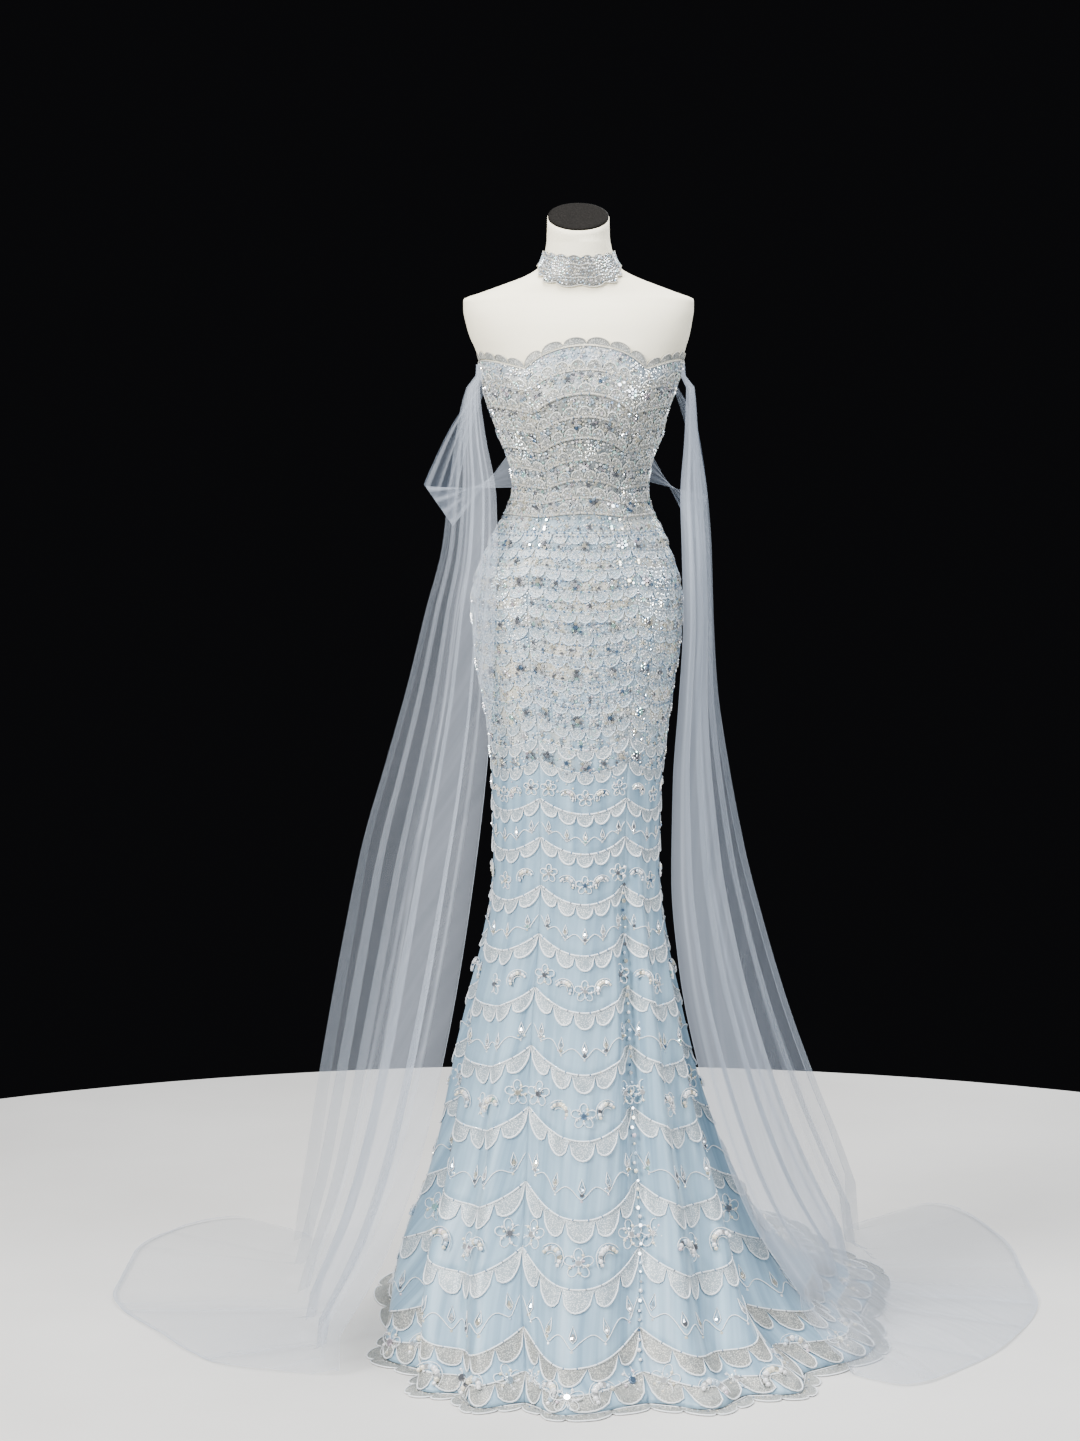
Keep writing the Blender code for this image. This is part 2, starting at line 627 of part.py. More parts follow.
def push_clear(point, clearance):
    """Move a point level with the floor until it clears the gown at its height."""
    x, y, height = point
    ratio, angle = outside_ratio(x, y, height)
    wanted = body_point(angle, height, clearance + ridge_reach(height))
    wanted_ratio, _ = outside_ratio(wanted[0], wanted[1], height)
    return wanted if ratio < wanted_ratio else np.array(point)


def gown_height_under(x, y):
    """The height of the skirt or train below a point, or 0 beyond the hem."""
    low = 0.0
    high = 0.60
    if outside_ratio(x, y, low)[0] > 1.0:
        return 0.0
    for _ in range(24):
        middle = 0.5 * (low + high)
        if outside_ratio(x, y, middle)[0] < 1.0:
            low = middle
        else:
            high = middle
    return low


def drape_grid(rails, pool):
    """The middle layer of a drape: rows that hang from the bodice, then rows that lie spread."""
    columns = DRAPE_FOLDS * POINTS_PER_FOLD + 1
    along = np.linspace(0, 1, columns)
    wave = 0.5 - 0.5 * np.cos(2 * np.pi * DRAPE_FOLDS * along)
    outline = read_table(POOL_COLUMNS, pool)
    rows = []
    for height, front_x, front_y, back_x, back_y, bow, fold in rails:
        line = np.array([back_x - front_x, back_y - front_y])
        length = np.linalg.norm(line)
        outward = np.array([line[1], -line[0]]) / length * np.sign(front_x)
        offset = bow * 4 * along * (1 - along)
        x = front_x + line[0] * along + outward[0] * offset
        y = front_y + line[1] * along + outward[1] * offset
        row = [push_clear(point, KEEP_CLEAR(height)) + np.array([*outward, 0.0]) * fold * lift
               for point, lift in zip(zip(x, y, np.full(columns, height)), wave)]
        rows.append(np.array(row))
    landing = rows[-1]
    for share in POOL_ROWS:
        x = landing[:, 0] * (1 - share) + outline["x"](along) * share
        y = landing[:, 1] * (1 - share) + outline["y"](along) * share
        height = POOL_EDGE + POOL_FOLD * (1 - 0.7 * share) * wave
        under = np.array([gown_height_under(px, py) for px, py in zip(x, y)])
        over_train = under + np.where(under > 0, KEEP_CLEAR(0.0), 0.0045 * (1 - share))
        rows.append(np.stack([x, y, over_train + height], axis=-1))
    return np.stack(rows)


def make_drapes(material):
    thick_sheet("drape_r", drape_grid(DRAPE_R, POOL_R), TULLE_WALL, material)
    thick_sheet("drape_l", drape_grid(DRAPE_L, POOL_L), TULLE_WALL, material)


def make_loops(material):
    across = np.linspace(0, 1, LOOP_COUNT_ACROSS)[:, None]
    for name, rows in (("loop_r", LOOP_R), ("loop_l", LOOP_L)):
        lines = [(1 - across) * np.array(row[:3]) + across * np.array(row[3:]) for row in rows]
        lines[0] = np.array([push_clear(point, LOOP_HEAD_GAP) for point in lines[0]])
        lines[-1] = np.array([push_clear(point, LOOP_END_GAP) for point in lines[-1]])
        thick_sheet(name, np.stack(lines), TULLE_WALL, material)


# ---------------------------------------------------------------------------------------------
# The dress form, its stand and the choker
# ---------------------------------------------------------------------------------------------

def shoulder_size(column, height):
    """The form runs straight between the rows of its table."""
    index = SHOULDER_COLUMNS.index(column)
    return np.interp(height, [row[0] for row in SHOULDERS], [row[index] for row in SHOULDERS])


def shoulder_ring(angle, height):
    return round_section(angle, *(shoulder_size(column, height) for column in SHOULDER_COLUMNS[1:]))


def form_angles():
    angles = []
    for row in PANELS:
        panel = named_panel(row)
        angles += [(panel, share) for share in np.linspace(0, 1, panel["columns"] + 1)[:-1]]
    return angles


def neck_ring(angle, height, radius):
    """A ring of the neck; its plane tilts to the front more and more towards the top."""
    turn = np.radians(angle)
    share = np.clip((height - NECK_BEND) / (NECK_TOP - NECK_BEND), 0, 1)
    y = -radius * np.cos(turn)
    x = NECK_SHIFT + radius * np.sin(turn)
    return np.stack([x, y, height + share * math.tan(math.radians(NECK_TILT)) * y],
                    axis=-1)


def make_form(material):
    """The torso: inside the gown it follows the gown's own rows, and above it the shoulders."""
    inset = GOWN_WALL + FORM_EASE
    places = form_angles()
    top_angles = np.array([(1 - share) * seam_angle(panel["start"], NECKLINE)
                           + share * seam_angle(panel["end"], NECKLINE) for panel, share in places])
    rings = [neck_ring(top_angles, NECK_TOP, NECK_RADIUS)]
    for row in SHOULDERS[::-1]:
        x, y = shoulder_ring(top_angles, row[0])
        rings.append(np.stack([x, y, np.full(len(x), row[0])], axis=-1))
    for level in [level for level in inner_rows() if level > FORM_BOTTOM + 0.03]:
        ring = []
        for panel, share in places:
            height = panel_height(panel, np.array(share), np.array(level))
            point, normal, _ = panel_frame(panel, np.array(share), height)
            ring.append(point - normal * inset)
        rings.append(np.array(ring))
    foot = np.array([panel_surface(panel, np.array(share), np.array(FORM_BOTTOM))
                     for panel, share in places])
    foot *= np.array([1 - FOOT_TUCK, 1 - FOOT_TUCK, 1.0])
    rings.append(foot)
    lofted_solid("dress_form", np.stack(rings), material)


def make_cap(material):
    angles = np.arange(0, 360, 12.0)
    low = neck_ring(angles, NECK_TOP, NECK_RADIUS - 0.001) + np.array([0, 0, 0.0004])
    high = low + np.array([0, 0, 0.0025])
    crown = low * np.array([0.90, 0.90, 1.0]) + np.array([0.1 * NECK_SHIFT, 0, 0])
    crown[:, 2] = NECK_TOP + 0.0040 + math.tan(math.radians(NECK_TILT)) * crown[:, 1]
    lofted_solid("neck_cap", np.stack([low, high, crown]), material)


def make_choker(material):
    """A band round the neck with scalloped edges, fastened at the back."""
    columns = 2 * CHOKER_SCALLOPS
    angles = np.linspace(0, 360, columns, endpoint=False)
    turn = np.radians(angles)
    point_out = CHOKER_SCALLOP * (np.arange(columns) % 2)
    front = np.clip(np.cos(turn), 0, 1) ** CHOKER_DIP_POWER
    top = CHOKER_TOP - CHOKER_TOP_DIP * front
    bottom = CHOKER_BOTTOM - CHOKER_BOTTOM_DIP * front
    outset = CHOKER_EASE + LACE_WALL / 2
    rows = []
    for height in (top + point_out, 0.6 * top + 0.4 * bottom, 0.25 * top + 0.75 * bottom,
                   bottom - point_out):
        narrowing = shoulder_size("left", height - 0.001) - shoulder_size("left", height + 0.001)
        tilt = np.where(np.cos(turn) > CHOKER_STEEP, 0.0, np.arctan2(narrowing, 0.002))
        x, y = shoulder_ring(angles, height)
        x += np.sin(turn) * outset * np.cos(tilt)
        y -= np.cos(turn) * outset * np.cos(tilt)
        rows.append(np.stack([x, y, height + outset * np.sin(tilt)], axis=-1))
    thick_sheet("choker", np.stack(rows), LACE_WALL, material, closed=True)


def make_stand(metal):
    base_edge = 0.003
    bpy.ops.mesh.primitive_cylinder_add(vertices=48, radius=BASE_RADIUS, depth=BASE_HEIGHT,
                                        location=(0, 0, BASE_HEIGHT / 2))
    base = bpy.context.object
    base.name = "stand_base"
    bevel = base.modifiers.new("worn edge", "BEVEL")
    bevel.width = base_edge
    bevel.segments = 1
    pole_low = BASE_HEIGHT + SEAM_GAP
    pole_high = FORM_BOTTOM - SEAM_GAP
    bpy.ops.mesh.primitive_cylinder_add(vertices=24, radius=POLE_RADIUS, depth=pole_high - pole_low,
                                        location=(0, 0, 0.5 * (pole_low + pole_high)))
    pole = bpy.context.object
    pole.name = "stand_pole"
    for piece in (base, pole):
        piece.data.materials.append(metal)
        for owner in piece.users_collection:
            owner.objects.unlink(piece)
        collection.objects.link(piece)


# ---------------------------------------------------------------------------------------------
# Build
# ---------------------------------------------------------------------------------------------

for old in list(bpy.data.objects):
    bpy.data.objects.remove(old)
collection = bpy.data.collections.new("mermaid_gown_on_dress_form")
bpy.context.scene.collection.children.link(collection)

ice_satin = new_material("ice blue satin with lace", (0.52, 0.61, 0.68), 0.45)
silver_lace = new_material("silver lace", (0.62, 0.66, 0.68), 0.40)
pale_tulle = new_material("pale tulle", (0.60, 0.66, 0.72), 0.70)
canvas = new_material("ivory canvas", (0.80, 0.77, 0.68), 0.75)
dark_wood = new_material("dark neck cap", (0.10, 0.10, 0.11), 0.45)
black_iron = new_material("black iron", (0.03, 0.03, 0.03), 0.45, 0.6)

make_panels(ice_satin)
make_zip(ice_satin)
make_neckline_lace(silver_lace)
make_hem_lace(silver_lace)
make_drapes(pale_tulle)
make_loops(pale_tulle)
make_form(canvas)
make_cap(dark_wood)
make_choker(silver_lace)
make_stand(black_iron)
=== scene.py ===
# %% [markdown]
# # A mermaid gown with lace tiers, on a dress form
#
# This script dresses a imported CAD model. The real thing is a strapless gown of ice-blue satin
# under a veil of organza, with rows of scalloped lace, thousands of glass beads, a beaded
# choker and two long tulle drapes. The model is loaded first, as a fixed frame: every new
# piece is made on the same formulas as its solid, so nothing has to be fitted afterwards.

import json
import math

import bpy
import numpy as np
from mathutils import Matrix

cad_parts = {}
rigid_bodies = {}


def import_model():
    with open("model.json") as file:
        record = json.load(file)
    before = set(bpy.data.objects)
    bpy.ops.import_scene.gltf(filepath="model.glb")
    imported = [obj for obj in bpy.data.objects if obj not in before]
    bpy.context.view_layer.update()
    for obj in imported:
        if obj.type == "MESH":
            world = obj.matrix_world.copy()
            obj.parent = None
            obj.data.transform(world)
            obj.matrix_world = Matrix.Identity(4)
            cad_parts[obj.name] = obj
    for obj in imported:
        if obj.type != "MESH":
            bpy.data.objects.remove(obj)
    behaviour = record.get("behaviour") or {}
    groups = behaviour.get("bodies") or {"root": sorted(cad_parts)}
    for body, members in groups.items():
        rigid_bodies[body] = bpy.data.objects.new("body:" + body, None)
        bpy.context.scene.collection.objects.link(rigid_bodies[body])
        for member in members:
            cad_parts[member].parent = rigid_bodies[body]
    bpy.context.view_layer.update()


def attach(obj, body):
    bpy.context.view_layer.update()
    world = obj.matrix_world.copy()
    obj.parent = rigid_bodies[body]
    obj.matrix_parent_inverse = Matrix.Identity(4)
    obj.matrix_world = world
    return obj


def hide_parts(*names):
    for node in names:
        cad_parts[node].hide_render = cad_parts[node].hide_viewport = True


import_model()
chance = np.random.default_rng(11)

# %% [markdown]
# ## The camera
#
# A camera is placed by where it stands and where it looks. This one stands five and a half
# metres in front of the gown at the height of the neckline and looks down a few degrees, with
# a long lens, as a photographer would stand back so that the hem isn't drawn too large.

# %% Camera
PHOTO_SIZE = (1080, 1441)
SENSOR_WIDTH = 0.036
FOCAL_PIXELS = 3741
CAMERA_PLACE = (-0.0588, -5.5, 1.55)
LOOKS_DOWN = 6.26        # degrees

lens = bpy.data.cameras.new("studio lens")
lens.sensor_fit = "VERTICAL"
lens.sensor_height = 1000 * SENSOR_WIDTH
lens.lens = lens.sensor_height * FOCAL_PIXELS / PHOTO_SIZE[1]
camera = bpy.data.objects.new("studio camera", lens)
camera.location = CAMERA_PLACE
camera.rotation_euler = (math.radians(90 - LOOKS_DOWN), 0, 0)
bpy.context.collection.objects.link(camera)
bpy.context.scene.camera = camera
print("lens", round(lens.lens, 1), "mm")

# %% [markdown]
# ## The gown's own sizes
#
# A pattern cutter works from a few measurements at known heights and draws smooth lines
# between them. The tables hold those measurements, in metres, or in thousandths where the table
# says so, and a smooth curve runs through each column. The curve never swings past its points,
# so a waist stays the narrowest place.

# %% Measurements of the gown
SEAM_GAP = 0.0003
GOWN_WALL = 0.0020
TIER_RISE = 0.0016
TIER_EDGE = 0.0030
FORM_EASE = 0.0006
NECKLINE = 1.466
HEM = 0.0028
LOWEST = 0.0006          # nothing on the gown comes lower
FORM_BOTTOM = 0.960
ZIP_WIDTH = 0.0060
ZIP_END = 1.098
SEAM_OPENS_AT = 1.094
SEAM_CLOSES_AT = 1.032
TILT_ENDS = 1.250


def thousandths(rows):
    """A table written in millimetres, or in thousandths of a share, as plain numbers."""
    return [[value / 1000 for value in row] for row in rows]


SECTION_COLUMNS = ("height", "left", "right", "front", "back", "mid_left", "mid_right", "power")
SECTIONS = thousandths((
    (1520, 159, 158, 100, 84, 0, 0, 1000), (1476, 152, 149, 108, 85, 0, 0, 1000),
    (1412, 129, 133, 119, 84, 0, 0, 1000), (1375, 120, 120, 113, 82, 0, 0, 1000),
    (1330, 104, 103, 97, 77, 0, 0, 1000), (1295, 98, 97, 88, 75, 0, 0, 1000),
    (1268, 101, 102, 87, 79, 0, 0, 1000), (1231, 118, 121, 92, 90, 0, 0, 1000),
    (1171, 140, 148, 100, 108, 0, 0, 1000), (1128, 149, 158, 103, 116, 0, 0, 1000),
    (1075, 147, 155, 103, 116, 0, 0, 1000), (1026, 140, 150, 101, 110, 0, 0, 1000),
    (977, 133, 140, 100, 103, 0, 0, 1000), (895, 123, 130, 98, 98, 0, 0, 1000),
    (798, 118, 128, 96, 94, 0, 0, 1000), (723, 118, 128, 98, 98, 0, 0, 1000),
    (639, 125, 137, 105, 112, 0, 0, 1000), (526, 145, 160, 122, 160, 0, 0, 1000),
    (433, 163, 178, 140, 215, 10, 10, 1000), (336, 190, 194, 168, 285, 30, 20, 980),
    (253, 224, 213, 194, 360, 60, 40, 950), (137, 280, 254, 244, 500, 110, 60, 900),
    (90, 315, 262, 270, 600, 150, 70, 870), (50, 366, 268, 296, 710, 210, 80, 840),
    (25, 410, 272, 317, 800, 270, 90, 820), (10, 444, 275, 335, 870, 310, 100, 800),
    (-10, 470, 278, 352, 930, 340, 100, 800),
))

# The seams' angles are in degrees from the front, positive towards the wearer's left.
SEAM_COLUMNS = ("height", "front_r", "front_l", "side_r", "side_l", "back_r", "back_l", "flute")
SEAMS = (
    (1.50, -35, 41, -90, 90, -142, 142, 0.000), (1.40, -31, 36, -90, 90, -142, 142, 0.000),
    (1.13, -29, 34, -90, 90, -142, 142, 0.000), (0.85, -27, 34, -90, 90, -140, 140, 0.000),
    (0.65, -27, 33, -88, 86, -138, 136, 0.008), (0.45, -26, 30, -82, 79, -134, 131, 0.018),
    (0.30, -24, 25, -76, 71, -130, 126, 0.028), (0.14, -19, 17, -66, 58, -124, 119, 0.040),
    (0.05, -15, 11, -60, 49, -119, 114, 0.050), (-0.01, -13, 8, -57, 45, -117, 112, 0.054),
)

SWAG_COLUMNS = ("height", "drop")
SWAGS = (
    (1.466, -0.034), (1.401, -0.028), (1.345, -0.022), (1.291, -0.014), (1.250, -0.006),
    (1.209, 0.004), (1.096, 0.012), (0.998, 0.018), (0.903, 0.021), (0.750, 0.026),
    (0.567, 0.034), (0.395, 0.042), (0.200, 0.046), (0.095, 0.040), (0.030, 0.012),
    (0.0028, 0.000),
)

TIERS = (1.401, 1.345, 1.291, 1.250, 1.209, 1.155, 1.096, 1.030, 0.966, 0.903, 0.844, 0.787, 0.716,
         0.645, 0.567, 0.483, 0.395, 0.290, 0.200, 0.095)

TOP_TILT_COLUMNS = ("angle", "tilt")
TOP_TILT = ((0.0, 0.000), (38.0, 0.000), (90.0, 0.006), (142.0, -0.014), (180.0, -0.024))

PANEL_COLUMNS = ("name", "start", "end", "flutes", "arch", "neck_scallops", "hem_scallops")
PANELS = (
    ("panel_back_r", "centre_r", "back_r", 1, 0.2, 3, 6),
    ("panel_side_back_r", "back_r", "side_r", 2, 0.2, 4, 8),
    ("panel_side_front_r", "side_r", "front_r", 2, 0.25, 5, 8),
    ("panel_front", "front_r", "front_l", 1, 1.0, 6, 4),
    ("panel_side_front_l", "front_l", "side_l", 2, 0.25, 5, 8),
    ("panel_side_back_l", "side_l", "back_l", 2, 0.2, 4, 8),
    ("panel_back_l", "back_l", "centre_l", 1, 0.2, 3, 6),
)
PANELS = [dict(zip(PANEL_COLUMNS, row)) for row in PANELS]

# %% Smooth curves through the measurements
def curve_through(places, values):
    """A smooth function through the given points that doesn't swing past them."""
    order = np.argsort(places)
    places = np.array(places, dtype=float)[order]
    values = np.array(values, dtype=float)[order]
    steps = np.diff(values) / np.diff(places)
    slopes = np.zeros(len(values))
    slopes[0] = steps[0]
    slopes[-1] = steps[-1]
    before = steps[:-1]
    after = steps[1:]
    same_way = before * after > 0
    slopes[1:-1][same_way] = (2 * before * after)[same_way] / (before + after)[same_way]

    def value(place):
        place = np.clip(place, places[0], places[-1])
        index = np.clip(np.searchsorted(places, place) - 1, 0, len(steps) - 1)
        width = places[index + 1] - places[index]
        t = (place - places[index]) / width
        start = values[index] * (1 + 2 * t) + slopes[index] * width * t
        end = values[index + 1] * (3 - 2 * t) - slopes[index + 1] * width * (1 - t)
        return start * (1 - t) ** 2 + end * t ** 2

    return value


def read_table(columns, rows):
    """One smooth function of the first column for each other named column."""
    places = [row[0] for row in rows]
    return {name: curve_through(places, [row[index] for row in rows])
            for index, name in enumerate(columns) if index > 0}


SECTION = read_table(SECTION_COLUMNS, SECTIONS)
SEAM = read_table(SEAM_COLUMNS, SEAMS)
SWAG = read_table(SWAG_COLUMNS, SWAGS)
TILT = read_table(TOP_TILT_COLUMNS, TOP_TILT)
print("waist half width:", round(float(SECTION["left"](1.295)), 3), "m")

# %% The gown's surface
def signed_power(value, power):
    return np.sign(value) * np.abs(value) ** power


def round_section(angle, left, right, front, back, mid=0.0, power=1.0):
    """X and Y on a closed outline; angle in degrees from the front, positive towards +X."""
    turn = np.radians(angle)
    half_width = np.where(np.sin(turn) > 0, left, right)
    depth = np.where(np.cos(turn) > 0, front + mid, back - mid)
    x = half_width * signed_power(np.sin(turn), power)
    y = mid - depth * signed_power(np.cos(turn), power)
    return x, y


def body_point(angle, height, outward=0.0):
    """A point on the gown's plain outline, moved outward level with the floor."""
    turn = np.radians(angle)
    mid = np.where(np.sin(turn) > 0, SECTION["mid_left"](height), SECTION["mid_right"](height))
    x, y = round_section(angle, SECTION["left"](height), SECTION["right"](height),
                         SECTION["front"](height), SECTION["back"](height), mid,
                         SECTION["power"](height))
    return np.stack([x + outward * np.sin(turn), y - outward * np.cos(turn),
                     np.broadcast_to(height, np.shape(x))], axis=-1)


def seam_angle(seam, height):
    if seam in SEAM:
        return SEAM[seam](height)
    return np.full(np.shape(height), -180.0 if seam == "centre_r" else 180.0)


def panel_angle(panel, across, height):
    """The angle round the gown at a share across a panel."""
    return (1 - across) * seam_angle(panel["start"], height) + across * seam_angle(panel["end"], height)


def panel_height(panel, across, level):
    """The height of a point on a lace line: the line's level at the seams, less its swag."""
    angle = panel_angle(panel, across, level)
    tilt = TILT["tilt"](np.abs(angle)) * np.clip((level - TILT_ENDS) / (NECKLINE - TILT_ENDS), 0, 1)
    drop = SWAG["drop"](level)
    drop = np.where(drop < 0, drop * panel["arch"], drop)
    return level + tilt - drop * 4 * across * (1 - across)


def panel_surface(panel, across, height):
    """A point of the gown in a panel, with the skirt's flutes: the seams lie in the deepest
    valleys, and a valley inside a panel is shallower."""
    angle = panel_angle(panel, across, height)
    lift = np.sin(np.pi * panel["flutes"] * across) ** 2
    if panel["flutes"] > 1:
        lift = 0.85 * lift + 0.25 * np.sin(np.pi * across) ** 2
    return body_point(angle, height, SEAM["flute"](height) * (lift - 0.5))


def unit(vectors):
    return vectors / np.linalg.norm(vectors, axis=-1, keepdims=True)


def panel_frame(panel, across, height):
    """Point, outward normal and level tangent of a panel's surface."""
    point = panel_surface(panel, across, height)
    reach = 0.004        # of the width across, and metres up: small enough to be straight
    side = panel_surface(panel, across + reach, height) - panel_surface(panel, across - reach, height)
    rise = panel_surface(panel, across, height + reach) - panel_surface(panel, across, height - reach)
    normal = unit(np.cross(side, rise))
    return point, normal, unit(side)


def back_half_gap(height):
    """Half the gap at the centre back, which leaves room for the zip down to its end."""
    zip_room = ZIP_WIDTH / 2 + SEAM_GAP
    opened = np.clip((height - SEAM_CLOSES_AT) / (SEAM_OPENS_AT - SEAM_CLOSES_AT), 0, 1)
    return SEAM_GAP / 2 + (zip_room - SEAM_GAP / 2) * opened


# %% [markdown]
# ## Creases and tiers
#
# Worn satin is never quite even. It pulls from the hip towards the knee, and it breaks into
# long soft troughs where the skirt opens. Such creases are few and each has its own length, so
# they are listed one by one: where across a panel one starts and ends, its heights, its width as
# a share of the panel, and its depth, with troughs negative. Every lace tier also swells a
# little towards its lower edge, just as it does in the solid.

# %% Creases
CREASE_COLUMNS = ("upper_across", "lower_across", "upper", "lower", "width", "depth")
CREASES = {
    "panel_front": (
        (0.16, 0.30, 0.74, 0.20, 0.05, -0.0030), (0.34, 0.44, 0.60, 0.06, 0.06, 0.0040),
        (0.62, 0.60, 0.68, 0.10, 0.05, -0.0032), (0.84, 0.80, 0.82, 0.22, 0.05, 0.0060),
        (0.965, 0.96, 0.84, 0.04, 0.04, -0.0100), (0.30, 0.10, 1.21, 1.13, 0.10, -0.0012),
        (0.72, 0.92, 1.22, 1.14, 0.10, -0.0012),
    ),
    "panel_side_front_l": (
        (0.05, 0.04, 0.86, 0.04, 0.05, -0.0110), (0.22, 0.20, 0.86, 0.06, 0.07, 0.0120),
        (0.42, 0.36, 0.74, 0.12, 0.05, -0.0042), (0.62, 0.66, 0.62, 0.08, 0.06, 0.0044),
        (0.80, 0.84, 0.70, 0.14, 0.05, -0.0040),
    ),
    "panel_side_front_r": (
        (0.20, 0.16, 0.72, 0.12, 0.05, -0.0040), (0.44, 0.38, 0.80, 0.24, 0.06, 0.0040),
        (0.66, 0.62, 0.64, 0.10, 0.05, -0.0036), (0.86, 0.88, 0.88, 0.30, 0.05, 0.0036),
    ),
    "panel_side_back_l": (
        (0.20, 0.14, 0.76, 0.10, 0.05, -0.0044), (0.46, 0.52, 0.84, 0.14, 0.06, 0.0046),
        (0.76, 0.72, 0.70, 0.06, 0.05, -0.0042),
    ),
    "panel_side_back_r": (
        (0.24, 0.30, 0.70, 0.08, 0.05, 0.0042), (0.54, 0.48, 0.82, 0.16, 0.05, -0.0044),
        (0.80, 0.86, 0.74, 0.10, 0.06, 0.0040),
    ),
    "panel_back_l": (
        (0.30, 0.36, 0.90, 0.12, 0.07, 0.0046), (0.70, 0.60, 0.72, 0.06, 0.06, -0.0046),
    ),
    "panel_back_r": (
        (0.34, 0.44, 0.76, 0.08, 0.06, -0.0044), (0.72, 0.66, 0.88, 0.14, 0.07, 0.0046),
    ),
}
TIER_LEVELS = []
TIER_LIFTS = []
for level in TIERS:
    TIER_LEVELS += [level + TIER_EDGE / 2, level - TIER_EDGE / 2]
    TIER_LIFTS += [TIER_RISE, 0.0]
TIER_LEVELS = np.array([NECKLINE] + TIER_LEVELS + [HEM])
TIER_LIFTS = np.array([0.0] + TIER_LIFTS + [0.0])


def tier_lift(level):
    """How far the cloth stands out at a level: each tier swells towards its lower edge."""
    return np.interp(-level, -TIER_LEVELS, TIER_LIFTS)


def crease_lift(panel, across, height):
    lift = np.zeros(np.broadcast(across, height).shape)
    for row in CREASES[panel["name"]]:
        crease = dict(zip(CREASE_COLUMNS, row))
        along = np.clip((crease["upper"] - height) / (crease["upper"] - crease["lower"]), 0, 1)
        middle = crease["upper_across"] + along * (crease["lower_across"] - crease["upper_across"])
        spread = np.exp(-((across - middle) / crease["width"]) ** 2)
        lift += crease["depth"] * spread * np.sin(np.pi * along) ** 1.5
    return lift


def on_gown(panel, across, level, out=0.0):
    """A place on the finished gown, by its share across a panel and its lace level, moved out.

    Gives the point, the outward normal and the level direction along the cloth."""
    across, level = np.broadcast_arrays(np.asarray(across, float), np.asarray(level, float))
    height = panel_height(panel, across, level)
    point, normal, side = panel_frame(panel, across, height)
    lift = tier_lift(level) + crease_lift(panel, across, height) + out
    point = point + normal * lift[..., None]
    point[..., 2] = np.maximum(point[..., 2], LOWEST)
    return point, normal, side


def arc_lengths(points):
    """How far along the cloth each point of a row lies."""
    steps = np.linalg.norm(np.diff(points, axis=-2), axis=-1)
    start = np.zeros(steps.shape[:-1] + (1,))
    return np.concatenate([start, np.cumsum(steps, axis=-1)], axis=-1)


def cloth_width(panel, level, points=20):
    """The width of a panel along its cloth at a level."""
    return float(arc_lengths(on_gown(panel, np.linspace(0, 1, points), level)[0])[-1])


HIP_LINE = TIERS[6]
print("front panel, width at the hip:", round(cloth_width(PANELS[3], HIP_LINE, 40), 3), "m")

# %% [markdown]
# ## Sheets, cords and beads
#
# Three helpers make nearly everything here. A sheet starts as Blender's grid, whose points are
# then moved to the cloth's own form, and it gets a UV map in metres so that a weave keeps its
# real size. A cord is a thin tube along a line that lies on the cloth. Beads are modelled once
# and copied into one joined mesh, because thousands of separate objects would be slow.

# %% A sheet of cloth
def deselect_all():
    if bpy.context.object and bpy.context.object.mode != "OBJECT":
        bpy.ops.object.mode_set(mode="OBJECT")
    bpy.ops.object.select_all(action="DESELECT")


def edit_all():
    """Open the active object for editing, with all of it selected."""
    bpy.ops.object.mode_set(mode="EDIT")
    bpy.ops.mesh.select_all(action="SELECT")


def hand_over(slot, *pieces):
    """Every piece follows the one body that there is. The slot is not used."""
    for piece in pieces:
        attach(piece, "root")


def cloth_sheet(name, points, material, wall=0.0, closed=False, offset=-1.0):
    """A sheet through rows of points from the top down, seen from outside left to right."""
    rows, columns = points.shape[:2]
    deselect_all()
    bpy.ops.mesh.primitive_grid_add(x_subdivisions=columns - 1, y_subdivisions=rows - 1, size=1)
    sheet = bpy.context.object
    sheet.name = name
    sheet.data.name = name
    upward = np.ascontiguousarray(points[::-1]).reshape(-1, 3)
    sheet.data.vertices.foreach_set("co", upward.ravel())
    across = arc_lengths(points[::-1])
    down = arc_lengths(points[::-1].transpose(1, 0, 2)).T
    place = np.stack([across, down], axis=-1).reshape(-1, 2)
    corner = np.empty(len(sheet.data.loops), dtype=np.int32)
    sheet.data.loops.foreach_get("vertex_index", corner)
    sheet.data.uv_layers.active.data.foreach_set("uv", place[corner].ravel())
    sheet.data.materials.append(material)
    sheet.data.shade_smooth()
    if closed:
        edit_all()
        bpy.ops.mesh.remove_doubles(threshold=0.00002)
        bpy.ops.object.mode_set(mode="OBJECT")
    if wall > 0:
        thick = sheet.modifiers.new("cloth thickness", "SOLIDIFY")
        thick.thickness = wall
        thick.offset = offset
        thick.use_even_offset = False
        bpy.ops.object.modifier_apply(modifier=thick.name)
    return sheet


def new_mesh_piece(name, points, faces, material, smooth=True):
    mesh = bpy.data.meshes.new(name)
    mesh.from_pydata(points, [], faces)
    mesh.materials.append(material)
    if smooth:
        mesh.shade_smooth()
    mesh.validate()
    piece = bpy.data.objects.new(name, mesh)
    bpy.context.collection.objects.link(piece)
    return piece


# %% Cords on the cloth
def gathered(parts):
    """Points and faces of many small meshes as those of one."""
    starts = np.cumsum([0] + [len(points) for points, _ in parts])
    faces = [some_faces + start for (_, some_faces), start in zip(parts, starts)]
    return np.concatenate([points for points, _ in parts]), np.concatenate(faces)


